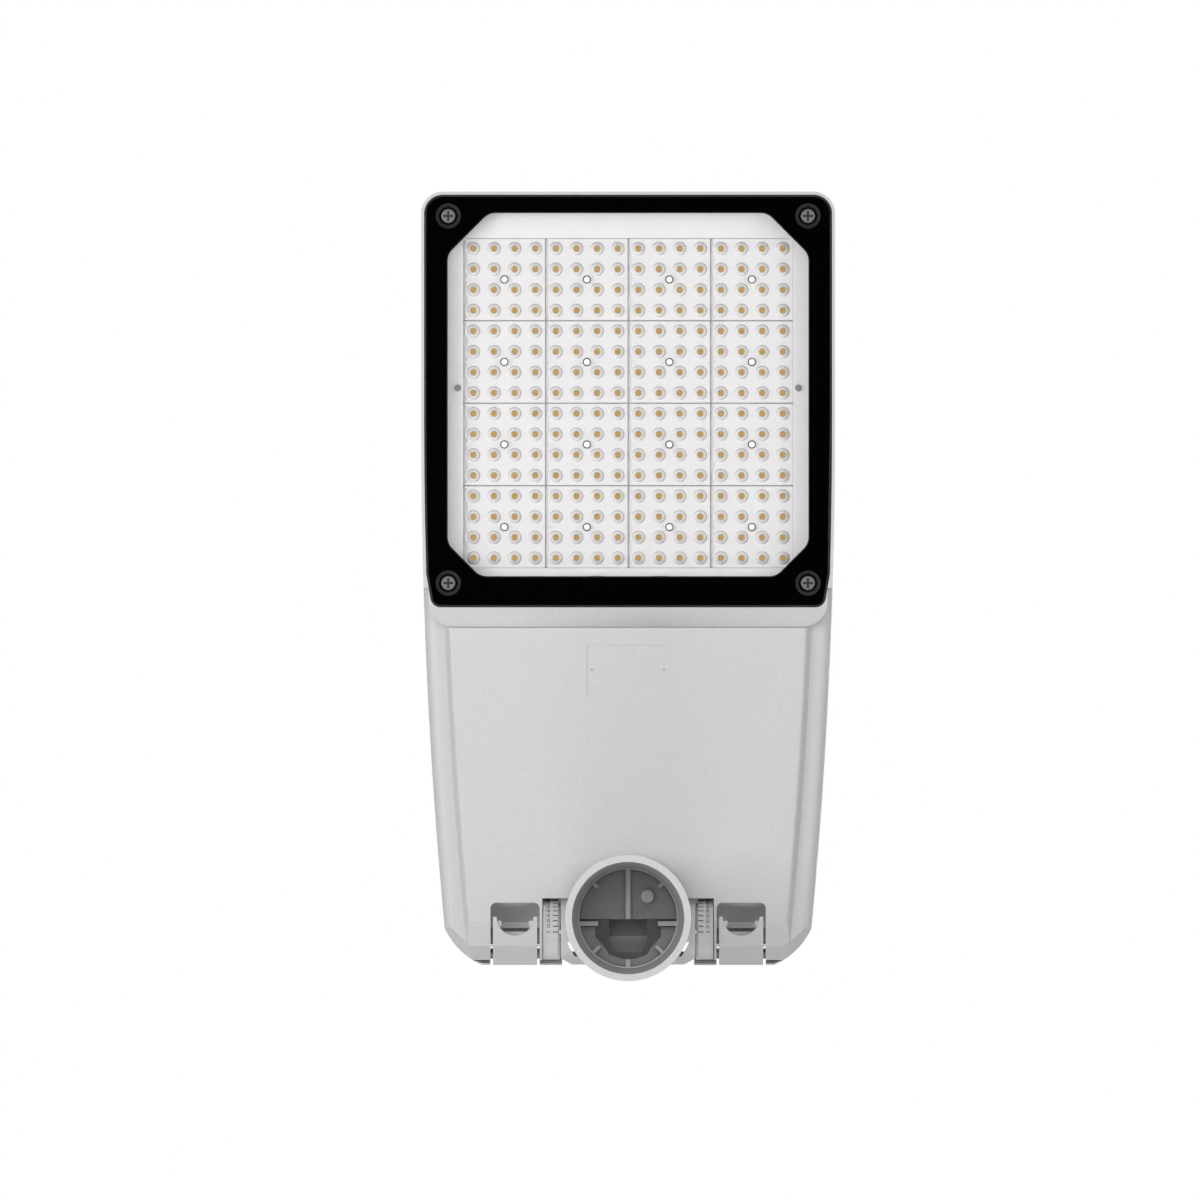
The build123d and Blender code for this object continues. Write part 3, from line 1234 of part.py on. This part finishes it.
NODES = {
    "pole_spigot": pole_spigot,
    "pole_screws": pole_screws,
    "pivot_bolts": pivot_bolts,
    "tilt_dial_right": lambda: tilt_dial(1),
    "tilt_dial_left": lambda: tilt_dial(-1),
    "lamp_housing": lamp_housing,
    "glass_frame": glass_frame,
    "glass_pane": glass_pane,
    "glass_gasket": glass_gasket,
    "frame_screws": frame_screws,
    "led_boards": led_boards,
    "lens_plates": lens_plates,
    "module_screws": module_screws,
    "reflector_tray": reflector_tray,
    "tray_screws": tray_screws,
    "gear_pan": gear_pan,
    "bay_gasket": bay_gasket,
    "gear_lid": gear_lid,
    "hinge_pins": hinge_pins,
    "latch_right": lambda: latch(1),
    "latch_left": lambda: latch(-1),
    "latch_pins": latch_pins,
    "gear_driver": gear_driver,
    "driver_screws": lambda: bay_screws(driver_holes(), seat_height(), post_depth()),
    "surge_protector": surge_protector,
    "surge_screws": lambda: bay_screws(surge_holes(), seat_height(), post_depth()),
    "terminal_block": terminal_block,
    "terminal_screws": lambda: bay_screws(terminal_holes(), seat_height(), post_depth()),
    "cord_clamp": cord_clamp,
    "clamp_screws": clamp_screws,
    "cable_grommet": cable_grommet,
    "wire_grommet": wire_grommet,
    "vent_plug": vent_plug,
    "earth_screw": earth_screw,
    "joint_screws": joint_screws,
}

os.makedirs("parts", exist_ok=True)
for name, make in NODES.items():
    export_step(make(), f"parts/{name}.step")
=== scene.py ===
"""The looks of the street light: its finishes, small added details, the tilt scale and the studio."""
import math

import bmesh
import bpy
from mathutils import Matrix, Vector


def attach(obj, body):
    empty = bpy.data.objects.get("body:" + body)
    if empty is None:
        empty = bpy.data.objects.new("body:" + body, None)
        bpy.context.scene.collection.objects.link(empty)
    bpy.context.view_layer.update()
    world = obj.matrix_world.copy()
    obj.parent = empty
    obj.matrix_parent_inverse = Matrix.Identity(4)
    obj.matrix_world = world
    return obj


MM = 0.001
WHITE = (1, 1, 1, 1)

# The photograph looks straight up at the light, at one scale
MM_PER_PIXEL = 0.606
IMAGE_SIZE = 1200
SOCKET_PIXEL = (628.1, 918.1)
CAMERA_Z = -0.95
FLOOR_Z = -1.05

# Light modules, as in the solids
MODULE_PITCH = 50.0
MODULES_PER_SIDE = 4
MODULE_CENTRE_Y = -312.0
LED_PITCH = 12.5
LEDS_PER_SIDE = 4
CHIP_SIZE = 3.4
CHIP_FACE_Z = 23.5
CHIP_BACK_Z = 23.75
CHIP_CORNER = 0.5
PHOSPHOR_DEPTH = 0.1
CASE_STEP = 0.08
PHOSPHOR_R = 1.5
# Glow of the amber fields: painted light that brightens the unlit, shaded chips
PHOSPHOR_PAINTED_GLOW = 0.35
CLEAR_R = (1.7, 2.3)
CLEAR_ALPHA = (0.03, 0.9)
# Painted highlight on each dome, a bright disc shifted to one side, and a painted shaded rim round it
LENS_HIGHLIGHT_R = 3.5
LENS_HIGHLIGHT_SHIFT = (-0.9, 0.7)
LENS_RIM_SHADE_R = (3.4, 4.1)
# Lens tones: plate is the plates' own milky tone; glow is a painted highlight, edge a painted shaded rim,
# gap painted shade beside the plate gaps
LENS_AND_PAINTED_LIGHT_TONES = {"plate": 0.86, "glow": 0.96, "edge": 0.66, "gap": 0.66}
# Width of the painted shade beside each gap between lens plates
GAP_SHADE_WIDTH = 0.5
# Painted amber tint round each chip, standing in for the chip's colour spread through the dome: its reach
# and each channel's share away from and beside the chip
PAINTED_AMBER_R = 2.6
PAINTED_AMBER_SHARES = {"X": (1.0, 1.0), "Y": (0.98, 0.93), "Z": (0.985, 0.84)}
WASHER_R = (1.8, 2.5)
WASHER_Z = (20.3, 20.55)
RING_SIDES = 28

# Cross recess of the frame's screws, darkened with painted shade
SCREW_RECESS_Z = 10.35
SCREW_RECESS_SHADE = 0.08

# Painted shade inside the socket's bore, each tone from its height up: the wall, the rib ends, which
# get a painted highlight instead, the floor, the floor's recess and what lies above it
SOCKET_MOUTH_R = 34.1
BORE_PAINTED_SHADE = [(-74.9, 0.57), (-0.3, 1.45), (0.5, 0.74), (8.5, 0.2), (10.5, 0.66), (22.0, 0.82)]

# The black frame's own tone on its face, a painted highlight on its bevels and its sides, and the normals
# that part them
BLACK_AND_PAINTED_HIGHLIGHT_TONES = (0.0003, 0.045, 0.004)
BEVEL_FACING = (-0.96, -0.25)

# Tilt scale on the two drums
TILT_AXIS = (8.4, 32.0)
DRUM_R = 19.8
TICK_X = (42.6, 45.6)
DIGIT_X = 48.1
DIGIT_SIZE = 2.7
TICK_WIDTH = 0.6
INK_HEIGHT = 0.12
SCALE_DEGREES = range(0, 91, 10)

# Studio: each lamp's name, place, side and power
LIGHT_TARGET = (0, -0.2, 0.03)
LIGHTS = [
    ("key", (-0.85, -0.3, -0.8), 0.6, 5.3),
    ("front", (-0.1, -0.35, -0.95), 0.6, 2.1),
    ("fill", (0.85, -0.5, -0.65), 0.7, 3.1),
    ("rear", (-0.1, 1.15, -0.4), 0.6, 3.9),
    ("top", (0.2, -0.4, 1.3), 1.2, 12),
]
AMBIENT = 0.26
FLOOR_HALF = 40.0
FLOOR_GLOW = 0.82


# Materials

def new_material(name, colour, roughness, **sockets):
    material = bpy.data.materials.new(name)
    material.use_nodes = True
    shader = material.node_tree.nodes["Principled BSDF"]
    shader.inputs["Base Color"].default_value = (*colour, 1)
    shader.inputs["Roughness"].default_value = roughness
    for socket, value in sockets.items():
        shader.inputs[socket.replace("_", " ")].default_value = value
    return material


def add_node(material, kind, **values):
    node = material.node_tree.nodes.new(kind)
    for name, value in values.items():
        if name in node.inputs:
            node.inputs[name].default_value = value
        else:
            setattr(node, name, value)
    return node


def link(material, source, target):
    material.node_tree.links.new(source, target)


def math_node(material, operation, first, second=0.0):
    node = add_node(material, "ShaderNodeMath", operation=operation)
    for socket, value in zip(node.inputs, (first, second)):
        if isinstance(value, (int, float)):
            socket.default_value = value
        else:
            link(material, value, socket)
    return node.outputs[0]


def coordinate_parts(material, kind):
    """The X, Y and Z of one kind of texture coordinate."""
    place = add_node(material, "ShaderNodeTexCoord")
    split = add_node(material, "ShaderNodeSeparateXYZ")
    link(material, place.outputs[kind], split.inputs[0])
    return split.outputs


def object_axes(material):
    """The point's own X, Y and Z on the piece, in metres."""
    return coordinate_parts(material, "Object")


def facing(material):
    """The Z part of the surface's own normal."""
    return coordinate_parts(material, "Normal")["Z"]


def grey_mix(material, share, off_tone, on_tone):
    """A grey value between two tones, each a number or another value."""
    more = math_node(material, "MULTIPLY", share, on_tone)
    rest = math_node(material, "SUBTRACT", 1.0, share)
    less = math_node(material, "MULTIPLY", rest, off_tone)
    return math_node(material, "ADD", more, less)


def scale_colour(material, tone):
    """Multiplies the material's colour, which a node gives, by a tone."""
    shader = material.node_tree.nodes["Principled BSDF"]
    colour = shader.inputs["Base Color"].links[0].from_socket
    scaled = add_node(material, "ShaderNodeVectorMath", operation="SCALE")
    link(material, colour, scaled.inputs[0])
    link(material, tone, scaled.inputs["Scale"])
    link(material, scaled.outputs[0], shader.inputs["Base Color"])


def object_noise(material, scale, detail=2.0, roughness=0.5):
    place = add_node(material, "ShaderNodeTexCoord")
    noise = add_node(material, "ShaderNodeTexNoise", Scale=scale, Detail=detail, Roughness=roughness)
    link(material, place.outputs["Object"], noise.inputs["Vector"])
    return noise


def add_mottle(material, colour, spread, scale):
    """Small changes of tone over the surface, round the base colour."""
    noise = object_noise(material, scale, detail=4.0)
    ramp = add_node(material, "ShaderNodeValToRGB")
    low, high = ramp.color_ramp.elements
    low.position = 0.3
    high.position = 0.7
    low.color = (*(channel * (1 - spread) for channel in colour), 1)
    high.color = (*(channel * (1 + spread) for channel in colour), 1)
    link(material, noise.outputs["Fac"], ramp.inputs["Fac"])
    shader = material.node_tree.nodes["Principled BSDF"]
    link(material, ramp.outputs["Color"], shader.inputs["Base Color"])


def add_grain(material, scale, strength, height):
    """A fine relief, such as the orange peel of a powder coat."""
    noise = object_noise(material, scale, detail=3.0, roughness=0.6)
    bump = add_node(material, "ShaderNodeBump", Strength=strength, Distance=height)
    link(material, noise.outputs["Fac"], bump.inputs["Height"])
    shader = material.node_tree.nodes["Principled BSDF"]
    link(material, bump.outputs["Normal"], shader.inputs["Normal"])


def add_sheen_variation(material, low, high, scale):
    noise = object_noise(material, scale, detail=3.0)
    spread = add_node(material, "ShaderNodeMapRange")
    spread.inputs["To Min"].default_value = low
    spread.inputs["To Max"].default_value = high
    link(material, noise.outputs["Fac"], spread.inputs["Value"])
    shader = material.node_tree.nodes["Principled BSDF"]
    link(material, spread.outputs["Result"], shader.inputs["Roughness"])


def powder_coat():
    colour = (0.60, 0.60, 0.598)
    material = new_material("silver_powder_coat", colour, 0.42, Metallic=0.0)
    add_mottle(material, colour, spread=0.08, scale=1500)
    add_grain(material, scale=1700, strength=0.35, height=0.00012)
    add_sheen_variation(material, low=0.36, high=0.50, scale=90)
    return material


def in_socket(material, axes):
    """Whether a point lies inside the socket's bore, as 1 or 0."""
    squares = [math_node(material, "MULTIPLY", axes[name], axes[name]) for name in ("X", "Y")]
    reach = math_node(material, "ADD", *squares)
    return math_node(material, "LESS_THAN", reach, (SOCKET_MOUTH_R * MM) ** 2)


def raw_casting():
    """The spigot's powder coat, with painted shade inside its bore in tones set by height and a painted
    highlight on the rib ends.
    """
    material = powder_coat()
    material.name = "spigot_painted_bore_shade"
    axes = object_axes(material)
    # Painted shade down the bore, with the rib ends painted lighter than the coat as a highlight
    tone = BORE_PAINTED_SHADE[0][1]
    for z, deeper_tone in BORE_PAINTED_SHADE[1:]:
        deeper = math_node(material, "GREATER_THAN", axes["Z"], z * MM)
        tone = grey_mix(material, deeper, tone, deeper_tone)
    tone = grey_mix(material, in_socket(material, axes), 1.0, tone)
    scale_colour(material, tone)
    return material


def black_gloss():
    """The frame's black, with a painted highlight on its narrow bevels and sides, set by the way they
    face.
    """
    material = new_material("black_gloss", (0.0003, 0.0003, 0.0003), 0.3, Specular_IOR_Level=0.004)
    add_sheen_variation(material, low=0.25, high=0.35, scale=60)
    shader = material.node_tree.nodes["Principled BSDF"]
    normal = facing(material)
    sloped = math_node(material, "GREATER_THAN", normal, BEVEL_FACING[0])
    steep = math_node(material, "GREATER_THAN", normal, BEVEL_FACING[1])
    # Painted highlight: the bevels and sides are lighter than the face
    tone = grey_mix(material, sloped, *BLACK_AND_PAINTED_HIGHLIGHT_TONES[:2])
    tone = grey_mix(material, steep, tone, BLACK_AND_PAINTED_HIGHLIGHT_TONES[2])
    link(material, tone, shader.inputs["Base Color"])
    return material


def clear_glass():
    material = new_material("clear_glass", (0.97, 0.99, 0.985), 0.02, Alpha=0.025)
    add_grain(material, scale=8, strength=0.05, height=0.0002)
    return material


def from_led_axis(material, shift=(0, 0)):
    """The distance to the nearest diode's axis, in metres."""
    axes = object_axes(material)
    squares = []
    for name, middle, aside in (("X", 0.0, shift[0]), ("Y", MODULE_CENTRE_Y, shift[1])):
        along = math_node(material, "SUBTRACT", axes[name], (middle + aside) * MM)
        steps = math_node(material, "DIVIDE", along, LED_PITCH * MM)
        across = math_node(material, "SUBTRACT", math_node(material, "FRACT", steps), 0.5)
        squares.append(math_node(material, "MULTIPLY", across, across))
    reach = math_node(material, "SQRT", math_node(material, "ADD", *squares))
    return math_node(material, "MULTIPLY", reach, LED_PITCH * MM)


def near_plate_gap(material):
    """Whether a point lies beside the gap between two lens plates, as 1 or 0."""
    axes = object_axes(material)
    reaches = []
    for name, middle in (("X", 0.0), ("Y", MODULE_CENTRE_Y)):
        along = math_node(material, "SUBTRACT", axes[name], middle * MM)
        reaches.append(math_node(material, "PINGPONG", along, MODULE_PITCH / 2 * MM))
    nearest = math_node(material, "MINIMUM", *reaches)
    return math_node(material, "LESS_THAN", nearest, GAP_SHADE_WIDTH * MM)


def clear_lens():
    """Moulded plates, clear over each diode and milky between, with a painted highlight and a painted
    shaded rim on each dome, painted shade beside the plate gaps and a painted amber tint round each chip.
    """
    material = new_material("clear_lens", (0.86, 0.86, 0.86), 0.12, Coat_Weight=0.15)
    shader = material.node_tree.nodes["Principled BSDF"]
    reach = from_led_axis(material)
    spread = add_node(material, "ShaderNodeMapRange")
    spread.inputs["From Min"].default_value = CLEAR_R[0] * MM
    spread.inputs["From Max"].default_value = CLEAR_R[1] * MM
    spread.inputs["To Min"].default_value = CLEAR_ALPHA[0]
    spread.inputs["To Max"].default_value = CLEAR_ALPHA[1]
    link(material, reach, spread.inputs["Value"])
    link(material, spread.outputs["Result"], shader.inputs["Alpha"])
    # Painted shaded rim round each dome, and below it the painted highlight, marked glow
    outside = math_node(material, "GREATER_THAN", reach, LENS_RIM_SHADE_R[0] * MM)
    beyond = math_node(material, "GREATER_THAN", reach, LENS_RIM_SHADE_R[1] * MM)
    glow = math_node(material, "LESS_THAN", from_led_axis(material, LENS_HIGHLIGHT_SHIFT), LENS_HIGHLIGHT_R * MM)
    tone = grey_mix(material, outside, LENS_AND_PAINTED_LIGHT_TONES["plate"], LENS_AND_PAINTED_LIGHT_TONES["edge"])
    tone = grey_mix(material, beyond, tone, LENS_AND_PAINTED_LIGHT_TONES["plate"])
    tone = grey_mix(material, glow, tone, LENS_AND_PAINTED_LIGHT_TONES["glow"])
    # Painted shade beside the gaps between plates
    tone = grey_mix(material, near_plate_gap(material), tone, LENS_AND_PAINTED_LIGHT_TONES["gap"])
    # Painted amber tint round each chip, the chip's colour spread through the dome
    beside_chip = math_node(material, "LESS_THAN", reach, PAINTED_AMBER_R * MM)
    tinted = add_node(material, "ShaderNodeCombineXYZ")
    for name, shares in PAINTED_AMBER_SHARES.items():
        share = grey_mix(material, beside_chip, *shares)
        link(material, math_node(material, "MULTIPLY", tone, share), tinted.inputs[name])
    link(material, tinted.outputs[0], shader.inputs["Base Color"])
    return material


def white_mask():
    colour = (0.88, 0.875, 0.88)
    material = new_material("white_solder_mask", colour, 0.45)
    add_mottle(material, colour, spread=0.02, scale=300)
    return material


def white_sheet():
    colour = (0.87, 0.848, 0.855)
    material = new_material("white_sheet", colour, 0.4)
    add_mottle(material, colour, spread=0.02, scale=120)
    add_grain(material, scale=900, strength=0.1, height=0.0001)
    return material


def phosphor():
    colour = (0.62, 0.34, 0.002)
    material = new_material("amber_phosphor", colour, 0.35)
    shader = material.node_tree.nodes["Principled BSDF"]
    # Painted light: the unlit phosphor glows to brighten the shaded chips
    shader.inputs["Emission Color"].default_value = (*colour, 1)
    shader.inputs["Emission Strength"].default_value = PHOSPHOR_PAINTED_GLOW
    add_mottle(material, colour, spread=0.15, scale=900)
    return material


def chip_case():
    colour = (0.80, 0.72, 0.55)
    material = new_material("chip_case", colour, 0.5)
    add_mottle(material, colour, spread=0.1, scale=900)
    return material


def steel():
    colour = (0.55, 0.55, 0.54)
    material = new_material("stainless_steel", colour, 0.3, Metallic=1.0)
    add_mottle(material, colour, spread=0.06, scale=700)
    add_sheen_variation(material, low=0.22, high=0.38, scale=500)
    return material


def dull_steel():
    colour = (0.22, 0.22, 0.22)
    material = new_material("dull_steel", colour, 0.5, Metallic=0.2)
    add_mottle(material, colour, spread=0.1, scale=900)
    return material


def black_steel():
    colour = (0.12, 0.12, 0.12)
    material = new_material("black_oxide_steel", colour, 0.42, Metallic=0.35)
    add_mottle(material, colour, spread=0.12, scale=900)
    add_grain(material, scale=1500, strength=0.2, height=0.0001)
    return material


def black_screw():
    """Black steel with painted shade in the recess of the head."""
    material = black_steel()
    material.name = "black_screw"
    deep = math_node(material, "GREATER_THAN", object_axes(material)["Z"], SCREW_RECESS_Z * MM)
    tone = grey_mix(material, deep, 1.0, SCREW_RECESS_SHADE)
    scale_colour(material, tone)
    return material


def rubber():
    colour = (0.02, 0.02, 0.02)
    material = new_material("black_rubber", colour, 0.7)
    add_mottle(material, colour, spread=0.15, scale=500)
    add_grain(material, scale=1200, strength=0.2, height=0.0001)
    return material


def moulded_plastic(name, colour):
    material = new_material(name, colour, 0.5)
    add_mottle(material, colour, spread=0.05, scale=600)
    add_grain(material, scale=1400, strength=0.15, height=0.0001)
    return material


def scale_ink():
    colour = (0.05, 0.05, 0.05)
    material = new_material("scale_ink", colour, 0.55)
    add_mottle(material, colour, spread=0.1, scale=900)
    return material


# Mesh helpers

def mesh_object(name, build, materials):
    """A new object whose mesh the given function fills in, in millimetres."""
    mesh = bpy.data.meshes.new(name)
    shape = bmesh.new()
    build(shape)
    bmesh.ops.scale(shape, vec=Vector((MM, MM, MM)), verts=shape.verts)
    bmesh.ops.recalc_face_normals(shape, faces=shape.faces)
    shape.to_mesh(mesh)
    shape.free()
    for material in materials:
        mesh.materials.append(material)
    piece = bpy.data.objects.new(name, mesh)
    bpy.context.scene.collection.objects.link(piece)
    return piece


def prism(shape, corners, low_z, high_z, slot=0):
    """A solid with one outline at two heights."""
    low = [shape.verts.new((x, y, low_z)) for x, y in corners]
    high = [shape.verts.new((x, y, high_z)) for x, y in corners]
    faces = [shape.faces.new(low), shape.faces.new(reversed(high))]
    for index in range(len(corners)):
        after = (index + 1) % len(corners)
        faces.append(shape.faces.new((low[index], high[index], high[after], low[after])))
    for face in faces:
        face.material_index = slot


def cut_square(x, y, half, cut):
    """A square's corners with each corner cut off."""
    near = half - cut
    offsets = [
        (half, -near), (half, near), (near, half), (-near, half),
        (-half, near), (-half, -near), (-near, -half), (near, -half),
    ]
    return [(x + dx, y + dy) for dx, dy in offsets]


def round_outline(x, y, radius, sides):
    turns = [2 * math.pi * index / sides for index in range(sides)]
    return [(x + radius * math.cos(turn), y + radius * math.sin(turn)) for turn in turns]


def centred_steps(count, pitch):
    return [(index - (count - 1) / 2) * pitch for index in range(count)]


def led_places():
    modules = centred_steps(MODULES_PER_SIDE, MODULE_PITCH)
    leds = centred_steps(LEDS_PER_SIDE, LED_PITCH)
    return [
        (mx + lx, MODULE_CENTRE_Y + my + ly)
        for mx in modules for my in modules for lx in leds for ly in leds
    ]


# Pieces

def led_chips(case_material, phosphor_material):
    """The packages under the domes: a case with cut corners and a round amber field."""
    def build(shape):
        for x, y in led_places():
            corners = cut_square(x, y, CHIP_SIZE / 2, CHIP_CORNER)
            prism(shape, corners, CHIP_FACE_Z + CASE_STEP, CHIP_BACK_Z)
            field = cut_square(x, y, PHOSPHOR_R, CHIP_CORNER)
            prism(shape, field, CHIP_FACE_Z, CHIP_FACE_Z + PHOSPHOR_DEPTH, slot=1)
    return mesh_object("led_chips", build, [case_material, phosphor_material])


def ring(shape, x, y, radii, z):
    """A flat ring, such as a washer."""
    inner, outer = (round_outline(x, y, radius, RING_SIDES) for radius in radii)
    section = [(inner, z[0]), (outer, z[0]), (outer, z[1]), (inner, z[1])]
    loops = [[shape.verts.new((px, py, height)) for px, py in outline] for outline, height in section]
    for near, far in zip(loops, loops[1:] + loops[:1]):
        for index in range(len(near)):
            after = (index + 1) % len(near)
            shape.faces.new((near[index], near[after], far[after], far[index]))


def module_washers(material):
    """Dark washers round the screws of the light modules."""
    steps = centred_steps(MODULES_PER_SIDE, MODULE_PITCH)

    def build(shape):
        for x in steps:
            for y in steps:
                ring(shape, x, MODULE_CENTRE_Y + y, WASHER_R, WASHER_Z)
    return mesh_object("module_washers", build, [material])


def on_drum(angle):
    """The frame on the drum's surface, turned from its lowest line towards the nose."""
    centre = Vector((0, *TILT_AXIS)) * MM
    turn = Matrix.Rotation(math.radians(-angle), 4, "X")
    drop = Matrix.Translation((0, 0, -DRUM_R * MM))
    return Matrix.Translation(centre) @ turn @ drop


def tick_mesh(shape, side, angle):
    half = TICK_WIDTH / 2
    low, high = sorted(side * x for x in TICK_X)
    corners = [(low, -half), (high, -half), (high, half), (low, half)]
    before = set(shape.verts)
    prism(shape, corners, -INK_HEIGHT, INK_HEIGHT)
    placed = on_drum(angle)
    placed.translation /= MM
    new = [vertex for vertex in shape.verts if vertex not in before]
    bmesh.ops.transform(shape, matrix=placed, verts=new)


def drum_scale(side, ink):
    """Ticks and plain degree numbers round one drum."""
    def build(shape):
        for angle in SCALE_DEGREES:
            tick_mesh(shape, side, angle)
    name = "scale_right" if side > 0 else "scale_left"
    ticks = mesh_object(name, build, [ink])
    pieces = [ticks]
    for angle in SCALE_DEGREES:
        pieces.append(degree_number(side, angle, ink))
    return pieces


def degree_number(side, angle, ink):
    label = "right" if side > 0 else "left"
    text = bpy.data.curves.new(f"degree_{label}_{angle}", "FONT")
    text.body = str(angle)
    text.size = DIGIT_SIZE * MM
    text.extrude = INK_HEIGHT * MM
    text.align_x = "CENTER"
    text.align_y = "CENTER"
    text.resolution_u = 3
    carrier = bpy.data.objects.new(text.name, text)
    bpy.context.scene.collection.objects.link(carrier)
    mesh = bpy.data.meshes.new_from_object(carrier)
    bpy.data.objects.remove(carrier)
    facing_down = Matrix.Rotation(math.pi, 4, "X")
    upright = Matrix.Rotation(-side * math.pi / 2, 4, "Z")
    aside = Matrix.Translation((side * DIGIT_X * MM, 0, 0))
    mesh.transform(on_drum(angle) @ aside @ facing_down @ upright)
    mesh.materials.clear()
    mesh.materials.append(ink)
    number = bpy.data.objects.new(text.name, mesh)
    bpy.context.scene.collection.objects.link(number)
    return number


def finish_nodes(finishes):
    """Gives each CAD node its material in place of the frame's plain one."""
    for material, names in finishes:
        for name in names:
            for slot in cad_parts[name].material_slots:
                slot.material = material


# Studio

def light_path_mix(tree, plain, shown):
    """One shader for the rays that light things, another for what camera, gloss and glass see."""
    path = tree.nodes.new("ShaderNodeLightPath")
    most = tree.nodes.new("ShaderNodeMath")
    most.operation = "MAXIMUM"
    tree.links.new(path.outputs["Is Camera Ray"], most.inputs[0])
    tree.links.new(path.outputs["Is Glossy Ray"], most.inputs[1])
    seen = tree.nodes.new("ShaderNodeMath")
    seen.operation = "MAXIMUM"
    tree.links.new(most.outputs[0], seen.inputs[0])
    tree.links.new(path.outputs["Is Transmission Ray"], seen.inputs[1])
    mix = tree.nodes.new("ShaderNodeMixShader")
    tree.links.new(seen.outputs[0], mix.inputs[0])
    tree.links.new(plain, mix.inputs[1])
    tree.links.new(shown, mix.inputs[2])
    return mix.outputs[0]


def make_world(ambient):
    world = bpy.data.worlds.new("studio")
    bpy.context.scene.world = world
    world.use_nodes = True
    tree = world.node_tree
    tree.nodes.clear()
    light = tree.nodes.new("ShaderNodeBackground")
    light.inputs["Color"].default_value = WHITE
    light.inputs["Strength"].default_value = ambient
    white = tree.nodes.new("ShaderNodeBackground")
    white.inputs["Color"].default_value = WHITE
    white.inputs["Strength"].default_value = 1.0
    output = tree.nodes.new("ShaderNodeOutputWorld")
    mixed = light_path_mix(tree, light.outputs[0], white.outputs[0])
    tree.links.new(mixed, output.inputs["Surface"])


def make_floor():
    mesh = bpy.data.meshes.new("floor")
    signs = [(-1, -1), (1, -1), (1, 1), (-1, 1)]
    corners = [(x * FLOOR_HALF, y * FLOOR_HALF, FLOOR_Z) for x, y in signs]
    mesh.from_pydata(corners, [], [(0, 1, 2, 3)])
    floor = bpy.data.objects.new("floor", mesh)
    bpy.context.scene.collection.objects.link(floor)
    material = new_material("floor_white", (0.86, 0.86, 0.86), 0.9, Specular_IOR_Level=0.0)
    tree = material.node_tree
    shader = tree.nodes["Principled BSDF"]
    glow = tree.nodes.new("ShaderNodeEmission")
    blend = tree.nodes.new("ShaderNodeMixShader")
    blend.inputs[0].default_value = FLOOR_GLOW
    tree.links.new(shader.outputs[0], blend.inputs[1])
    tree.links.new(glow.outputs[0], blend.inputs[2])
    shown = light_path_mix(tree, shader.outputs[0], blend.outputs[0])
    tree.links.new(shown, tree.nodes["Material Output"].inputs["Surface"])
    mesh.materials.append(material)


def soft_box(name, place, side, power):
    light = bpy.data.lights.new(name, "AREA")
    light.shape = "RECTANGLE"
    light.size = side
    light.size_y = side
    light.energy = power
    lamp = bpy.data.objects.new(name, light)
    bpy.context.scene.collection.objects.link(lamp)
    lamp.location = place
    away = Vector(LIGHT_TARGET) - Vector(place)
    lamp.rotation_euler = away.to_track_quat("-Z", "Y").to_euler()
    lamp.visible_camera = False


def make_camera():
    lens = bpy.data.cameras.new("camera")
    lens.type = "ORTHO"
    lens.ortho_scale = IMAGE_SIZE * MM_PER_PIXEL * MM
    camera = bpy.data.objects.new("camera", lens)
    bpy.context.scene.collection.objects.link(camera)
    across = (IMAGE_SIZE / 2 - SOCKET_PIXEL[0]) * MM_PER_PIXEL * MM
    along = (IMAGE_SIZE / 2 - SOCKET_PIXEL[1]) * MM_PER_PIXEL * MM
    camera.location = (across, along, CAMERA_Z)
    camera.rotation_euler = (math.pi, 0, 0)
    bpy.context.scene.camera = camera


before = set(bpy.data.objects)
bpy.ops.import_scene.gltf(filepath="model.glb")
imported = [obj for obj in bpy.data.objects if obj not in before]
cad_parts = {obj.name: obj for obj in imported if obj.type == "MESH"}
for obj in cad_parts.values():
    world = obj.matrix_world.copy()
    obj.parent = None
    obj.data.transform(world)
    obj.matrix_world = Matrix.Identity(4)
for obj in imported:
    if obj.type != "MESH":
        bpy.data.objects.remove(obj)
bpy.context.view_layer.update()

finish_nodes([
    (raw_casting(), ["pole_spigot"]),
    (powder_coat(), ["tilt_dial_left", "tilt_dial_right", "lamp_housing", "gear_pan",
                     "gear_lid", "latch_left", "latch_right"]),
    (black_gloss(), ["glass_frame"]),
    (clear_glass(), ["glass_pane"]),
    (clear_lens(), ["lens_plates"]),
    (white_mask(), ["led_boards"]),
    (white_sheet(), ["reflector_tray", "gear_driver"]),
    (black_screw(), ["frame_screws"]),
    (dull_steel(), ["tray_screws"]),
    (steel(), ["pole_screws", "pivot_bolts", "module_screws", "hinge_pins",
               "latch_pins", "driver_screws", "surge_screws", "terminal_screws", "clamp_screws",
               "earth_screw", "joint_screws"]),
    (rubber(), ["glass_gasket", "bay_gasket", "cable_grommet", "wire_grommet"]),
    (moulded_plastic("black_plastic", (0.035, 0.035, 0.038)),
     ["vent_plug", "cord_clamp", "surge_protector"]),
    (moulded_plastic("white_plastic", (0.68, 0.68, 0.66)), ["terminal_block"]),
])

chips = led_chips(chip_case(), phosphor())
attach(chips, "head")

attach(module_washers(rubber()), "head")

ink = scale_ink()
for side in (-1, 1):
    for piece in drum_scale(side, ink):
        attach(piece, "spigot")

make_world(AMBIENT)
make_floor()
for light in LIGHTS:
    soft_box(*light)
make_camera()

bpy.context.scene.view_settings.view_transform = "Standard"
